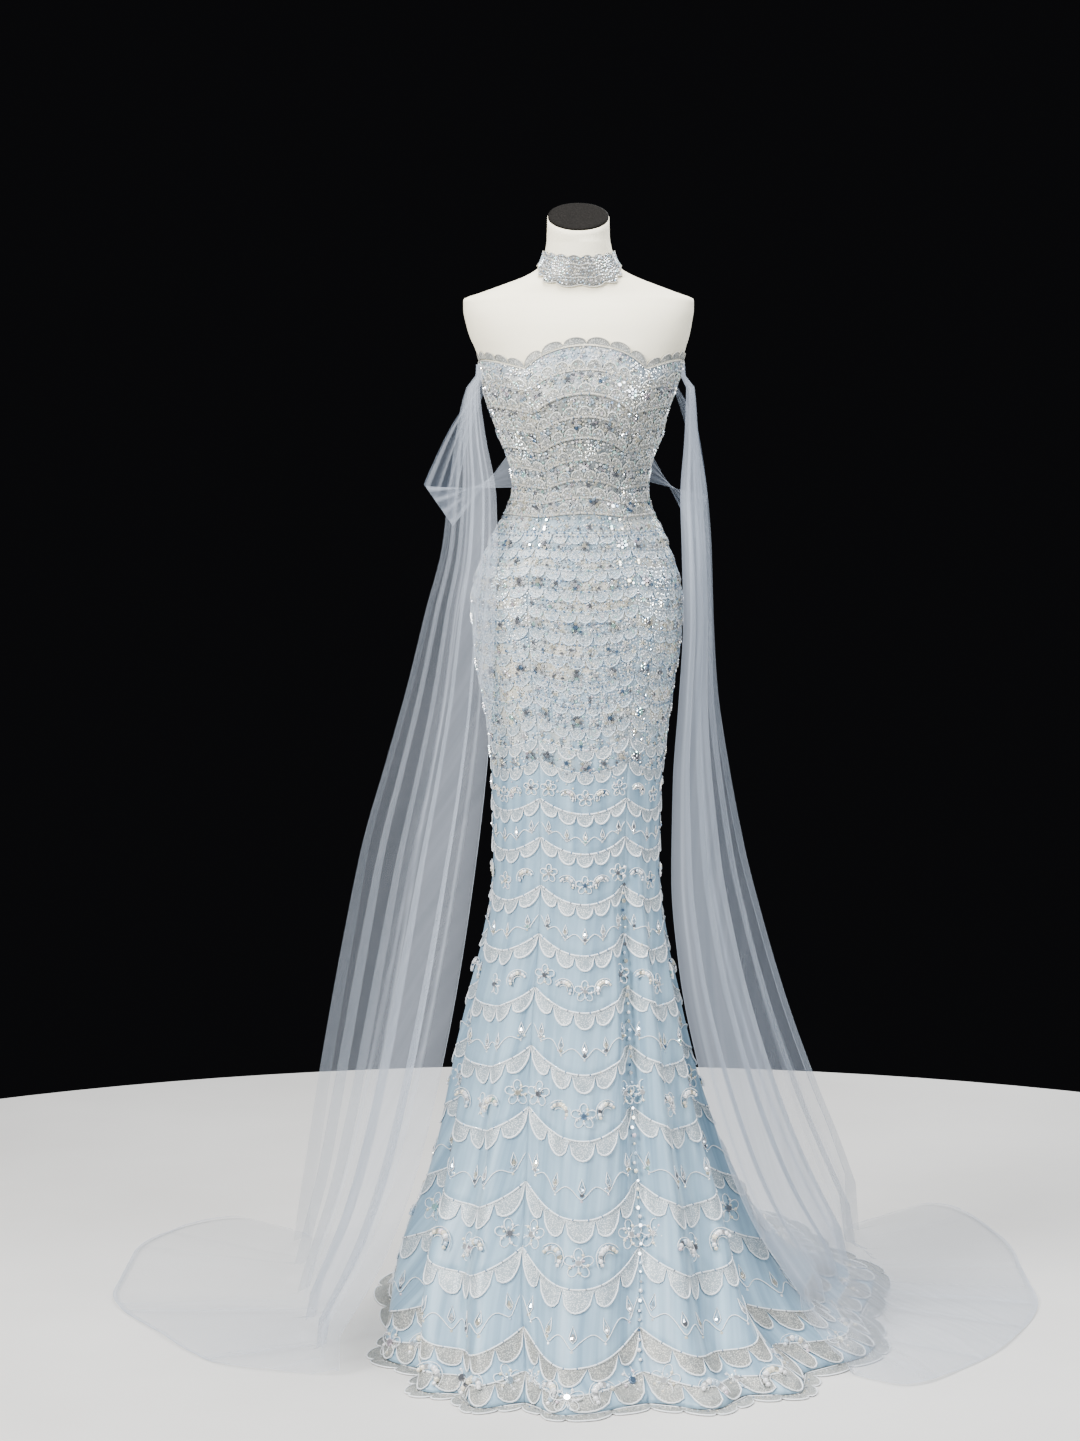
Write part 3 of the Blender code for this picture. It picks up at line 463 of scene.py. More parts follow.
def tube(path, normal, radius, sides, closed=False):
    """Points and faces of one thin tube along a path; its open ends draw in to a point."""
    ahead = np.roll(path, -1, axis=0) - np.roll(path, 1, axis=0)
    if not closed:
        ahead[0] = path[1] - path[0]
        ahead[-1] = path[-1] - path[-2]
    ahead = unit(ahead + 1e-12)
    beside = unit(np.cross(ahead, normal) + 1e-12)
    above = np.cross(beside, ahead)
    width = np.full(len(path), radius)
    if not closed:
        width[0] = width[-1] = 0.1 * radius
    turn = 2 * np.pi * np.arange(sides) / sides
    ring = np.cos(turn)[None, :, None] * beside[:, None] + np.sin(turn)[None, :, None] * above[:, None]
    points = path[:, None] + ring * width[:, None, None]
    count = len(path)
    row = np.arange(count if closed else count - 1)[:, None] * sides
    following = (row + sides) % (count * sides)
    edge = np.arange(sides)[None]
    next_edge = (edge + 1) % sides
    quads = np.stack([row + edge, following + edge, following + next_edge, row + next_edge], axis=-1)
    return points.reshape(-1, 3), quads.reshape(-1, 4)


def cords(name, lines, material, sides=5):
    """One piece from many cords, each (path, normals, radius, closed)."""
    points, faces = gathered([tube(path, normal, radius, sides, closed)
                              for path, normal, radius, closed in lines])
    print(name, "cords:", len(lines), "faces:", len(faces))
    return new_mesh_piece(name, points, faces, material)


# %% Beads, modelled once and copied
def shape_of(thing):
    """Take the triangles of a modelled bead and remove the bead."""
    edit_all()
    bpy.ops.mesh.quads_convert_to_tris()
    bpy.ops.mesh.normals_make_consistent(inside=False)
    bpy.ops.object.mode_set(mode="OBJECT")
    points = np.array([vertex.co[:] for vertex in thing.data.vertices])
    faces = np.array([face.vertices[:] for face in thing.data.polygons])
    bpy.data.objects.remove(thing)
    return points, faces


def seed_shape():
    """A small flat-backed stone: five sloping facets are enough at three millimetres."""
    deselect_all()
    bpy.ops.mesh.primitive_cone_add(vertices=5, radius1=1, radius2=0, depth=0.9)
    return shape_of(bpy.context.object)


def crystal_shape():
    """A flat-backed crystal: a low dome whose top is cut to a flat table."""
    deselect_all()
    bpy.ops.mesh.primitive_uv_sphere_add(segments=8, ring_count=4, radius=1)
    edit_all()
    bpy.ops.transform.resize(value=(1, 1, 0.7))
    bpy.ops.mesh.bisect(plane_co=(0, 0, 0.45), plane_no=(0, 0, 1), clear_outer=True, use_fill=True)
    return shape_of(bpy.context.object)


def pearl_shape():
    deselect_all()
    bpy.ops.mesh.primitive_uv_sphere_add(segments=6, ring_count=4, radius=1)
    return shape_of(bpy.context.object)


def drop_shape():
    """A pear-shaped drop: a ball whose upper end is drawn out to a point along Y."""
    deselect_all()
    bpy.ops.mesh.primitive_uv_sphere_add(segments=6, ring_count=5, radius=1,
                                         rotation=(math.radians(-90), 0, 0))
    drop = bpy.context.object
    bpy.ops.object.transform_apply(location=False, rotation=True, scale=False)
    bpy.ops.object.mode_set(mode="EDIT")
    bpy.ops.mesh.select_all(action="DESELECT")
    bpy.ops.object.mode_set(mode="OBJECT")
    for vertex in drop.data.vertices:
        vertex.select = vertex.co.y > 0.4
    bpy.ops.object.mode_set(mode="EDIT")
    bpy.ops.mesh.select_mode(type="VERT")
    bpy.ops.transform.translate(value=(0, 0.9, 0))
    bpy.ops.transform.resize(value=(0.45, 1, 0.45), center_override=(0, 1.4, 0))
    bpy.ops.mesh.select_all(action="SELECT")
    bpy.ops.transform.resize(value=(1, 1, 0.6), center_override=(0, 0, 0))
    return shape_of(drop)


def copies(name, shape, places, normals, sides, sizes, tints, material, smooth=False):
    """One joined piece: a copy of a shape at each place, its Z along the normal."""
    base, faces = shape
    up = np.cross(normals, sides)
    points = (places[:, None] + sizes[:, None, None] * (base[None, :, 0:1] * sides[:, None]
              + base[None, :, 1:2] * up[:, None] + base[None, :, 2:3] * normals[:, None]))
    every = faces[None] + (np.arange(len(places)) * len(base))[:, None, None]
    piece = new_mesh_piece(name, points.reshape(-1, 3), every.reshape(-1, 3), material, smooth)
    tint = piece.data.attributes.new("tint", "FLOAT_COLOR", "POINT")
    shades = np.repeat(np.concatenate([tints, np.ones((len(tints), 1))], axis=1), len(base), axis=0)
    tint.data.foreach_set("color", shades.ravel())
    print(name, "copies:", len(places), "faces:", every.shape[0] * every.shape[1])
    return piece


SEED = seed_shape()
CRYSTAL = crystal_shape()
PEARL = pearl_shape()
DROP = drop_shape()
print("triangles of seed, crystal, pearl, drop:",
      [len(shape[1]) for shape in (SEED, CRYSTAL, PEARL, DROP)])

# %% [markdown]
# ## Finishes
#
# Each finish is a small tree of shader nodes. The satin is tinted by height, because the real
# gown goes from silver beige at the bust through ivory and ice blue at the hip to plain ice
# blue in the skirt. Fine bands across the UV map, in metres, give the weave. Beads carry their
# own tint as an attribute, so one material serves thousands of them.

# %% Node helpers
def new_finish(name, values):
    """A new material with plain values on its shader: the material, its tree, its shader and
    the places (object, UV) that its textures read."""
    finish = bpy.data.materials.new(name)
    finish.use_nodes = True
    tree = finish.node_tree
    shader = tree.nodes["Principled BSDF"]
    for key, value in values.items():
        shader.inputs[key].default_value = value
    return finish, tree, shader, tree.nodes.new("ShaderNodeTexCoord").outputs


def add_node(tree, kind, **values):
    """A new node. Each named input or setting gets its value, or a link from another node."""
    node = tree.nodes.new(kind)
    for key, value in values.items():
        if key not in node.inputs:
            setattr(node, key, value)
        elif isinstance(value, bpy.types.NodeSocket):
            tree.links.new(value, node.inputs[key])
        else:
            node.inputs[key].default_value = value
    return node


def ramp(tree, source, *stops):
    """The colours of the stops, by the source's value."""
    node = tree.nodes.new("ShaderNodeValToRGB")
    while len(node.color_ramp.elements) < len(stops):
        node.color_ramp.elements.new(0.5)
    for element, (place, colour) in zip(node.color_ramp.elements, stops):
        element.position = place
        element.color = (*(colour if isinstance(colour, tuple) else 3 * (colour,)), 1)
    tree.links.new(source, node.inputs[0])
    return node.outputs[0]


def noise(tree, place, scale, detail, roughness=0.5):
    return add_node(tree, "ShaderNodeTexNoise", Vector=place, Scale=scale, Detail=detail,
                    Roughness=roughness).outputs["Fac"]


def stretched(tree, place, across, down):
    """A place whose textures are drawn out, such as streaks that run down the cloth."""
    return add_node(tree, "ShaderNodeMapping", Vector=place, Scale=(across, down, 1)).outputs[0]


def mixed(tree, factor, first, second, blend="MIX"):
    mix = add_node(tree, "ShaderNodeMix", data_type="RGBA", blend_type=blend)
    for socket, source in ((mix.inputs[0], factor), (mix.inputs[6], first), (mix.inputs[7], second)):
        if isinstance(source, bpy.types.NodeSocket):
            tree.links.new(source, socket)
        else:
            socket.default_value = (*source, 1) if isinstance(source, tuple) else source
    return mix.outputs[2]


def bump(tree, shader, height, strength, distance, invert=False):
    node = add_node(tree, "ShaderNodeBump", Height=height, Strength=strength, Distance=distance,
                    invert=invert)
    tree.links.new(node.outputs[0], shader.inputs["Normal"])


def weave_bump(tree, shader, place, threads, strength):
    """Crossing threads over the UV map, as a bump."""
    scaled = stretched(tree, place["UV"], threads, threads)
    warp, weft = (add_node(tree, "ShaderNodeTexWave", Vector=scaled, Scale=1.0, Distortion=0.6,
                           bands_direction=way).outputs["Color"] for way in "XY")
    bump(tree, shader, mixed(tree, 0.5, warp, weft), strength, THREAD_DEPTH)


def cloudy_finish(name, values, scale, detail, *stops, grain=0.0, weave=()):
    """One cloudy noise through a ramp of colours, with a bump of the same grain or of a weave."""
    finish, tree, shader, place = new_finish(name, values)
    cloud = noise(tree, place["Object"], scale, detail)
    tree.links.new(ramp(tree, cloud, *stops), shader.inputs["Base Color"])
    if grain:
        bump(tree, shader, cloud, grain, GRAIN_DEPTH)
    if weave:
        weave_bump(tree, shader, place, *weave)
    return finish


THREAD_DEPTH = 0.0002
GRAIN_DEPTH = 0.0003

# %% Satin under organza
ICE_BLUE = (0.338, 0.480, 0.592)
IVORY = (0.72, 0.69, 0.60)
SILVER_BEIGE = (0.335, 0.34, 0.32)
TINTED_UP_TO = 1.55      # the height where the ramps by height end


def satin_finish():
    finish, tree, shader, place = new_finish("ice satin", {"Roughness": 0.42, "Sheen Weight": 0.25,
                                                           "Sheen Roughness": 0.4})
    split = add_node(tree, "ShaderNodeSeparateXYZ", Vector=place["Object"])
    height = add_node(tree, "ShaderNodeMapRange", Value=split.outputs["Z"],
                      **{"From Max": TINTED_UP_TO}).outputs[0]
    by_height = ramp(tree, height, (0.0, ICE_BLUE), (0.56, ICE_BLUE), (0.62, (0.45, 0.56, 0.65)),
                     (0.80, (0.38, 0.48, 0.55)), (0.85, (0.31, 0.345, 0.36)), (0.91, SILVER_BEIGE),
                     (0.95, (0.45, 0.52, 0.59)))
    ivory_zone = ramp(tree, height, (0.0, 0), (0.56, 0), (0.63, 1), (0.76, 0.8), (0.84, 0.2), (1.0, 0.35))
    patches = ramp(tree, noise(tree, place["Object"], 17.0, 4.0, 0.6), (0.45, 0), (0.54, 1))
    ground = mixed(tree, mixed(tree, 1.0, ivory_zone, patches, "MULTIPLY"), by_height, IVORY)
    # Streaks down the skirt, lighter and darker by turns: painted light and shade of the organza's soft
    # folds.
    streaks = noise(tree, stretched(tree, place["UV"], 48, 1.6), 1.0, 3.0, 0.55)
    painted_fold_shading = ramp(tree, streaks, (0.32, (0.70, 0.75, 0.79)), (0.50, 1.0), (0.68, (1.30, 1.26, 1.22)))
    tree.links.new(mixed(tree, 1.0, ground, painted_fold_shading, "MULTIPLY"), shader.inputs["Base Color"])
    weave_bump(tree, shader, place, 1400, 0.12)
    return finish

# %% Lace, cord and net
def net_finish(name, dot, ground):
    """The net that fills a scallop: fine pale dots over the colour that shows through it."""
    finish, tree, shader, place = new_finish(name, {"Roughness": 0.45, "Metallic": 0.1})
    dots = add_node(tree, "ShaderNodeTexVoronoi", Vector=place["Object"], Scale=520.0).outputs["Distance"]
    spots = ramp(tree, dots, (0.28, dot), (0.46, ground))
    shades = ramp(tree, noise(tree, place["Object"], 60.0, 3.0), (0.35, (0.86, 0.88, 0.90)),
                  (0.65, (1.06, 1.04, 1.02)))
    tree.links.new(mixed(tree, 1.0, spots, shades, "MULTIPLY"), shader.inputs["Base Color"])
    bump(tree, shader, dots, 0.5, 0.0004, invert=True)
    return finish


def cord_finish(name, light, dark):
    return cloudy_finish(name, {"Roughness": 0.55}, 900.0, 2.0, (0.35, dark), (0.65, light), grain=0.4)

# %% Glass beads
def bead_finish(name, metallic, roughness, film):
    finish, tree, shader, place = new_finish(name, {
        "Metallic": metallic, "Roughness": roughness, "Coat Weight": 0.6, "Coat Roughness": 0.05,
        "Thin Film Thickness": film, "Thin Film IOR": 1.4})
    tint = add_node(tree, "ShaderNodeAttribute", attribute_name="tint").outputs["Color"]
    shades = ramp(tree, noise(tree, place["Object"], 700.0, 1.0), (0.3, 0.85), (0.7, 1.0))
    tree.links.new(mixed(tree, 1.0, tint, shades, "MULTIPLY"), shader.inputs["Base Color"])
    return finish

# %% Tulle
def tulle_finish(name, light, dark):
    """Sheer net: its own attribute says how many layers lie there and so how dense it looks."""
    finish, tree, shader, place = new_finish(name, {"Roughness": 0.6, "Sheen Weight": 0.15})
    streaks = noise(tree, stretched(tree, place["UV"], 60, 1.2), 1.0, 2.0)
    tree.links.new(ramp(tree, streaks, (0.35, dark), (0.65, light)), shader.inputs["Base Color"])
    layers = add_node(tree, "ShaderNodeAttribute", attribute_name="layers").outputs["Fac"]
    tree.links.new(layers, shader.inputs["Alpha"])
    weave_bump(tree, shader, place, 900, 0.04)
    return finish

# %% The form, its cap and the stand
def iron_finish():
    finish, tree, shader, place = new_finish("painted iron", {"Metallic": 0.4})
    wear = noise(tree, place["Object"], 26.0, 8.0, 0.7)
    shades = ramp(tree, wear, (0.45, (0.02, 0.02, 0.021)), (0.72, (0.05, 0.048, 0.046)))
    tree.links.new(shades, shader.inputs["Base Color"])
    tree.links.new(ramp(tree, wear, (0.4, 0.35), (0.7, 0.6)), shader.inputs["Roughness"])
    return finish


SATIN = satin_finish()
NET = net_finish("blue dotted net", (0.88, 0.90, 0.91), (0.40, 0.47, 0.51))
BEIGE_NET = net_finish("beige dotted net", (0.74, 0.74, 0.69), (0.30, 0.31, 0.30))
SILVER_NET = net_finish("silver dotted net", (0.52, 0.51, 0.46), (0.20, 0.20, 0.19))
WHITE_CORD = cord_finish("white cord", (0.97, 0.98, 0.99), (0.84, 0.88, 0.91))
BLUE_CORD = cord_finish("pale blue cord", (0.74, 0.83, 0.90), (0.60, 0.70, 0.79))
BEIGE_CORD = cord_finish("pale beige cord", (0.86, 0.86, 0.81), (0.66, 0.67, 0.63))
SILVER_CORD = cord_finish("silver cord", (0.66, 0.64, 0.57), (0.40, 0.39, 0.36))
SEED_GLASS = bead_finish("seed glass", 0.25, 0.18, 380.0)
CRYSTAL_GLASS = bead_finish("foiled crystal", 0.68, 0.08, 0.0)
PEARL_GLAZE = bead_finish("pearl glaze", 0.1, 0.22, 300.0)
TULLE = tulle_finish("blue grey tulle", (0.55, 0.60, 0.69), (0.47, 0.52, 0.60))
CANVAS = cloudy_finish("form jersey", {"Roughness": 0.75, "Sheen Weight": 0.2}, 9.0, 3.0,
                       (0.35, (0.98, 0.915, 0.73)), (0.65, (1.0, 0.945, 0.77)), weave=(1100, 0.25))
CAP_FELT = cloudy_finish("dark cap felt", {"Roughness": 0.8, "Specular IOR Level": 0.15}, 420.0, 4.0,
                         (0.35, (0.010, 0.009, 0.008)), (0.70, (0.022, 0.020, 0.018)), grain=0.4)
PALE_FLOOR = cloudy_finish("pale floor", {"Roughness": 0.7}, 1.6, 5.0,
                           (0.35, (0.72, 0.705, 0.68)), (0.65, (0.79, 0.775, 0.75)))
IRON = iron_finish()
print("finishes:", len(bpy.data.materials))

# %% [markdown]
# ## The gown's seven panels
#
# Seven panels are sewn side by side, with the zip between the two back ones. Each is one sheet
# on the same formula as its solid, with many more rows and columns, so that the skirt's flutes
# and the hand-placed creases come out smooth. Solidify then gives the cloth its wall inwards.

# %% Panels
PANEL_COLUMNS_FINE = 36
ROW_STEP = 0.0085
CLOTH_WALL = 0.0012


def fine_levels():
    """Levels from the neckline down, with a pair at each tier's edge and even steps between."""
    levels = [NECKLINE]
    for place in TIER_LEVELS[1:]:
        gap = levels[-1] - place
        steps = max(1, round(gap / ROW_STEP))
        levels += [levels[-1] - gap * step / steps for step in range(1, steps + 1)]
    return np.array(levels)


def panel_grid(panel, levels, columns):
    across = np.linspace(0, 1, columns + 1)[None]
    point, _, side = on_gown(panel, across, levels[:, None])
    height = panel_height(panel, across, levels[:, None])
    if panel["start"] == "centre_r":
        point[:, 0] += side[:, 0] * back_half_gap(height[:, 0])[:, None]
    if panel["end"] == "centre_l":
        point[:, -1] -= side[:, -1] * back_half_gap(height[:, -1])[:, None]
    return point


def declare_cloth(piece, points, node, slot="gown"):
    """Works out a sheet's longest column, hides the solid it replaces and hands the sheet over."""
    length = float(arc_lengths(points.transpose(1, 0, 2))[:, -1].max())
    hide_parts(node)
    hand_over(slot, piece)


for panel in PANELS:
    points = panel_grid(panel, fine_levels(), PANEL_COLUMNS_FINE)
    cloth = cloth_sheet("cloth_" + panel["name"], points, SATIN, CLOTH_WALL)
    declare_cloth(cloth, points, panel["name"])

# %% [markdown]
# ## Scalloped lace rows
#
# Every tier ends in a corded line with scallops: small half-round flaps of dotted net with a
# thick white rim. They hang below the line on the skirt and stand above it on the bodice. A
# scallop's size follows the cloth, so it is worked out from a width at each height, and each
# panel takes as many as fit between its seams.

# %% Scallop sizes
SCALLOP_WIDTH = curve_through((0.0, 0.095, 0.200, 0.395, 0.645, 0.903, 1.150, 1.300, 1.466),
                              (0.057, 0.056, 0.052, 0.044, 0.034, 0.027, 0.024, 0.021, 0.024))
SCALLOP_DEPTH = 0.60     # as a share of its width
END_DEPTH = 0.06         # how deep a scallop is at its two ends, as a share of its depth
NET_RISE = 0.0009
CORD_RADIUS = 0.0014
HANGS_BELOW = 1.24       # scallops hang below this height and stand above it


def scallop_count(panel, level):
    return max(2, round(float(cloth_width(panel, level, 30) / SCALLOP_WIDTH(level))))


def round_edge(share):
    """The half circle of a scallop's edge, from 0 at its two ends to 1 in the middle."""
    return np.sqrt(np.clip(1 - (2 * share - 1) ** 2, 0, 1))


def scallop_net(panel, level, count, downward):
    """Points of every scallop of one row of one panel, over a small grid each."""
    share = np.linspace(0, 1, 9)
    reach = np.linspace(0, 1, 5)
    start = np.arange(count)[:, None, None]
    across = (start + share[None, None]) / count
    outline = round_edge(share) * (1 - END_DEPTH) + END_DEPTH
    drop = reach[None, :, None] * outline[None, None] * SCALLOP_DEPTH * SCALLOP_WIDTH(level)
    swell = NET_RISE * (1 + 0.8 * np.sin(np.pi * share))[None, None] * (0.4 + 0.6 * reach)[None, :, None]
    return on_gown(panel, across, level - drop * downward, swell + 0 * across)


def grid_faces(grids, turned):
    """Points and faces of many equal grids, (count, rows, columns, 3), turned over or not."""
    count, rows, columns = grids.shape[:3]
    cell = np.arange(rows - 1)[:, None] * columns + np.arange(columns - 1)[None]
    quad = np.stack([cell, cell + columns, cell + columns + 1, cell + 1], axis=-1).reshape(-1, 4)
    faces = (quad[None] + (np.arange(count) * rows * columns)[:, None, None]).reshape(-1, 4)
    return grids.reshape(-1, 3), faces[:, ::-1] if turned else faces


def joined_grids(name, batches, material):
    """One sheet from many batches of small grids; a batch that goes upward is turned over."""
    points, faces = gathered([grid_faces(grids, turned) for grids, turned in batches])
    piece = new_mesh_piece(name, points, faces, material)
    print(name, "grids:", sum(len(grids) for grids, _ in batches), "faces:", len(piece.data.polygons))
    return piece


# %% Lace on every tier
HEM_ROW = 0.038          # height of the last row, just over the floor
SILVERY_BELOW = 0.12
CLOSE_ROWS_DOWN_TO = 0.89
WHITE_BELOW = 0.95
FINE_CORD = 0.68         # radius of the cords where the rows are close, as a share


def lace_rows():
    """Each row of scallops: the height of its line, and 1 where they hang or -1 where they stand.

    A line lies just under its tier's edge, or just over it where the scallops stand. Above the
    knee there is one more row in the middle of each tier."""
    rows = [(level - TIER_EDGE / 2, 1.0) for level in TIERS if level < HANGS_BELOW] + [(HEM_ROW, 1.0)]
    rows += [(level + TIER_EDGE / 2, -1.0) for level in TIERS if level >= HANGS_BELOW]
    close = [NECKLINE] + [level for level in TIERS if level > CLOSE_ROWS_DOWN_TO]
    for upper, lower in zip(close[:-1], close[1:]):
        middle = 0.5 * (upper + lower)
        rows.append((middle, 1.0 if middle < HANGS_BELOW else -1.0))
    return rows


nets = {"lace_net": [], "lace_net_silvery": []}
lines = {"white": [], "blue": [], "beige": [], "silver": []}
stud_places = []
for panel in PANELS:
    for line, downward in lace_rows():
        hangs = downward > 0
        count = scallop_count(panel, line)
        points, normals, _ = scallop_net(panel, line, count, downward)
        silvery = line < SILVERY_BELOW or not hangs
        nets["lace_net_silvery" if silvery else "lace_net"].append((points, not hangs))
        radius = CORD_RADIUS * (1.0 if line < CLOSE_ROWS_DOWN_TO else FINE_CORD)
        rims = lines["white" if line < WHITE_BELOW else "blue" if hangs else "beige"]
        for edge, normal in zip(points[:, -1], normals[:, -1]):
            rims.append((edge + normal * 0.4 * radius, normal, radius, False))
        header, normals, _ = on_gown(panel, np.linspace(0.004, 0.996, 7 * count + 1), line, 0.9 * radius)
        headers = rims if hangs else lines["silver"]
        headers.append((header, normals, (0.9 if hangs else 1.9) * radius, False))
        stud_places.append((panel, np.arange(2 * count) / (2 * count) + 0.25 / count, line))

for name, material in (("lace_net", NET), ("lace_net_silvery", BEIGE_NET)):
    hand_over("lace", joined_grids(name, nets[name], material))
for name, material in (("white", WHITE_CORD), ("blue", BLUE_CORD), ("beige", BEIGE_CORD),
                       ("silver", SILVER_CORD)):
    hand_over("lace", cords("lace_cords_" + name, lines[name], material, sides=4))

# %% [markdown]
# ## Sprigs between the rows
#
# The plain bands of the skirt take turns. One band has small five-petalled blossoms with
# arched sprays of pearls beside them, and the next has a waved thread with glass drops that
# stand on it. These are ordinary motifs of beadwork, drawn here from circles and waves.

# %% Motif lines
SKIRT_TIERS = [level for level in TIERS if level < 0.91] + [0.0]
BAND_MIDDLE = 0.36       # as a share of the band, from its lower line
PETALS = 5
THREAD_RADIUS = 0.0009
SPEAR = np.array([(0.0, -0.13), (0.07, -0.05), (0.10, 0.03), (0.06, 0.16), (0.0, 0.34),
                  (-0.06, 0.16), (-0.10, 0.03), (-0.07, -0.05)])
UP = np.array([0.0, 0.0, 1.0])
motif_lines = []
crystal_beads = []
pearl_beads = []
drop_beads = []
small_beads = []


def flat_ring(spot, outline):
    """A drawn outline (along the cloth, up the cloth) laid round a spot (point, normal, side)."""
    point, normal, side = spot
    return point + outline[:, :1] * side + outline[:, 1:] * np.cross(normal, side)


def circle(turns, sink=0.0):
    """Places on a circle of radius 1, by their turns from upright, all lowered by a share."""
    return np.stack([np.sin(turns), np.cos(turns) - sink], axis=-1)


SIX_ROUND = circle(2 * np.pi * np.arange(6) / 6)


def petal_outline(angle, length, width):
    turn = np.linspace(0, 2 * np.pi, 12, endpoint=False)
    along = length * (0.55 - 0.45 * np.cos(turn))
    beside = width * np.sin(turn) * (0.7 + 0.3 * (along / length))
    return np.stack([along * math.sin(angle) + beside * math.cos(angle),
                     along * math.cos(angle) - beside * math.sin(angle)], axis=-1)


def add_line(spot, outline, closed):
    path = flat_ring(spot, outline)
    motif_lines.append((path, np.tile(spot[1], (len(path), 1)), THREAD_RADIUS, closed))


def add_beads(beads, spot, outline, size):
    """A bead at each place of a drawn outline."""
    for place in flat_ring(spot, outline):
        beads.append((place, *spot[1:], size))


def blossom(spot, width):
    for petal in range(PETALS):
        outline = petal_outline(2 * np.pi * petal / PETALS, 0.44 * width, 0.15 * width)
        add_line(spot, outline, True)
        add_beads(pearl_beads, spot, outline[3:4], 0.036 * width + 0.0008)
    crystal_beads.append((spot[0] + spot[1] * 0.0004, *spot[1:], 0.115 * width))
    add_beads(small_beads, spot, SIX_ROUND * 0.165 * width, 0.050 * width)


def spray(spot, width, lean):
    """An arch of nine beads between two threads; it leans towards the panel's middle."""
    for bead, turn in enumerate(np.linspace(-1.45, 1.45, 9) + lean):
        kind = crystal_beads if bead in (2, 6) else pearl_beads
        size = width * (0.055 + 0.050 * math.cos((bead - 4) / 4 * 1.3))
        add_beads(kind, spot, circle(turn, 0.35)[None] * 0.33 * width, size)
    for reach in (0.47, 0.20):
        outline = circle(np.linspace(-1.5, 1.5, 12) + lean, 0.35 * 0.33 / reach)
        add_line(spot, outline * reach * width, False)


def thread_with_drops(panel, middle, width, count):
    """A waved thread with a pointed drop, a crystal and three small beads over each wave."""
    across = np.linspace(0.01, 0.99, 10 * count + 1)
    wave = 0.16 * width * (1 - 2 * np.abs(np.cos(np.pi * count * across)) ** 1.4)
    path, normals, _ = on_gown(panel, across, middle - 0.10 * width - wave, 0.0010)
    motif_lines.append((path, normals, 0.0010, False))
    across = (np.arange(count) + 0.5) / count
    spots = zip(*on_gown(panel, across, middle + 0.02 * width, 0.0012))
    feet = zip(*on_gown(panel, across, middle - 0.30 * width, 0.0010))
    for spot, foot in zip(spots, feet):
        point, normal, side = spot
        add_line(spot, SPEAR * width, True)
        drop_beads.append((*spot, 0.075 * width))
        low = point - UP * 0.17 * width + normal * 0.001
        crystal_beads.append((low, normal, side, 0.080 * width))
        for beside in (-1, 1):
            small_beads.append((low + side * beside * 0.115 * width, normal, side, 0.050 * width))
        small_beads.append((*foot, 0.055 * width))


for panel in PANELS:
    for band, (upper, lower) in enumerate(zip(SKIRT_TIERS[:-1], SKIRT_TIERS[1:])):
        middle = lower + BAND_MIDDLE * (upper - lower)
        width = float(SCALLOP_WIDTH(middle))
        count = scallop_count(panel, upper)
        if band % 2:
            thread_with_drops(panel, middle, width, count)
            continue
        places = 2 * round(count * 0.3) + 1 if count > 3 else 1
        for index in range(places):
            across = (index + 0.5) / places
            spot = on_gown(panel, across, middle, 0.0012)
            if (index - places // 2) % 2 == 0:
                blossom(spot, width)
            else:
                spray(spot, width, 0.5 if across < 0.5 else -0.5)

hand_over("lace", cords("motif_cords", motif_lines, WHITE_CORD, sides=3))

# %% [markdown]
# ## Beads
#
# The bodice and the hips are closely beaded, and the beading thins out towards the knee. Rows
# of seed beads follow the lace lines with small uneven steps, as beads sewn by hand do. Their
# tints are drawn by chance from a small palette whose mix changes with height: the same seed
# gives the same gown each time.

# %% Palette
PALETTE = np.array([
    (0.97, 0.98, 0.99),   # silver white
    (0.62, 0.75, 0.86),   # ice blue
    (0.93, 0.88, 0.74),   # champagne
    (0.58, 0.84, 0.78),   # pale green
    (0.82, 0.72, 0.78),   # rose
    (0.33, 0.34, 0.37),   # smoke
    (0.22, 0.32, 0.46),   # ink blue
])
BUST_MIX = np.array([0.42, 0.16, 0.22, 0.10, 0.03, 0.07, 0.00])
HIP_MIX = np.array([0.50, 0.24, 0.14, 0.06, 0.03, 0.03, 0.00])
BEADED_DOWN_TO = 0.86
FULLY_BEADED_FROM = 0.98
BEAD_STEP = 0.0050
BUST_FROM = 1.20         # the hips' mix of tints turns into the bust's over the next 80 mm
BUST_STEP = 0.08


def drawn_tints(count, mix):
    mix = mix / mix.sum()
    picked = PALETTE[chance.choice(len(PALETTE), size=count, p=mix)]
    return np.clip(picked * chance.uniform(0.85, 1.1, (count, 1)), 0, 1)


def bead_piece(name, shape, beads, mix, finish, smooth=False):
    """One piece from a list of beads (place, normal, side, size), its tints drawn by chance."""
    tints = drawn_tints(len(beads), np.array(mix))
    piece = copies(name, shape, *(np.array(part) for part in zip(*beads)), tints, finish, smooth)
    hand_over("lace", piece)
    return piece


def seed_field(panel):
    """The seed beads of one panel: their places, normals, sides and tints."""
    rows = []
    for level in np.arange(NECKLINE - 0.004, BEADED_DOWN_TO, -BEAD_STEP):
        count = round(cloth_width(panel, level) / BEAD_STEP)
        across = (np.arange(count) + 0.5 + chance.uniform(-0.32, 0.32, count)) / count
        levels = level + chance.uniform(-0.0017, 0.0017, count)
        share = np.clip((level - BEADED_DOWN_TO) / (FULLY_BEADED_FROM - BEADED_DOWN_TO), 0, 1) ** 1.6
        kept = chance.uniform(0, 1, count) < 0.12 + 0.80 * share
        blend = np.clip((level - BUST_FROM) / BUST_STEP, 0, 1)
        tints = drawn_tints(int(kept.sum()), blend * BUST_MIX + (1 - blend) * HIP_MIX)
        rows.append((*on_gown(panel, across[kept], levels[kept], 0.0019), tints))
    return [np.concatenate(part) for part in zip(*rows)]


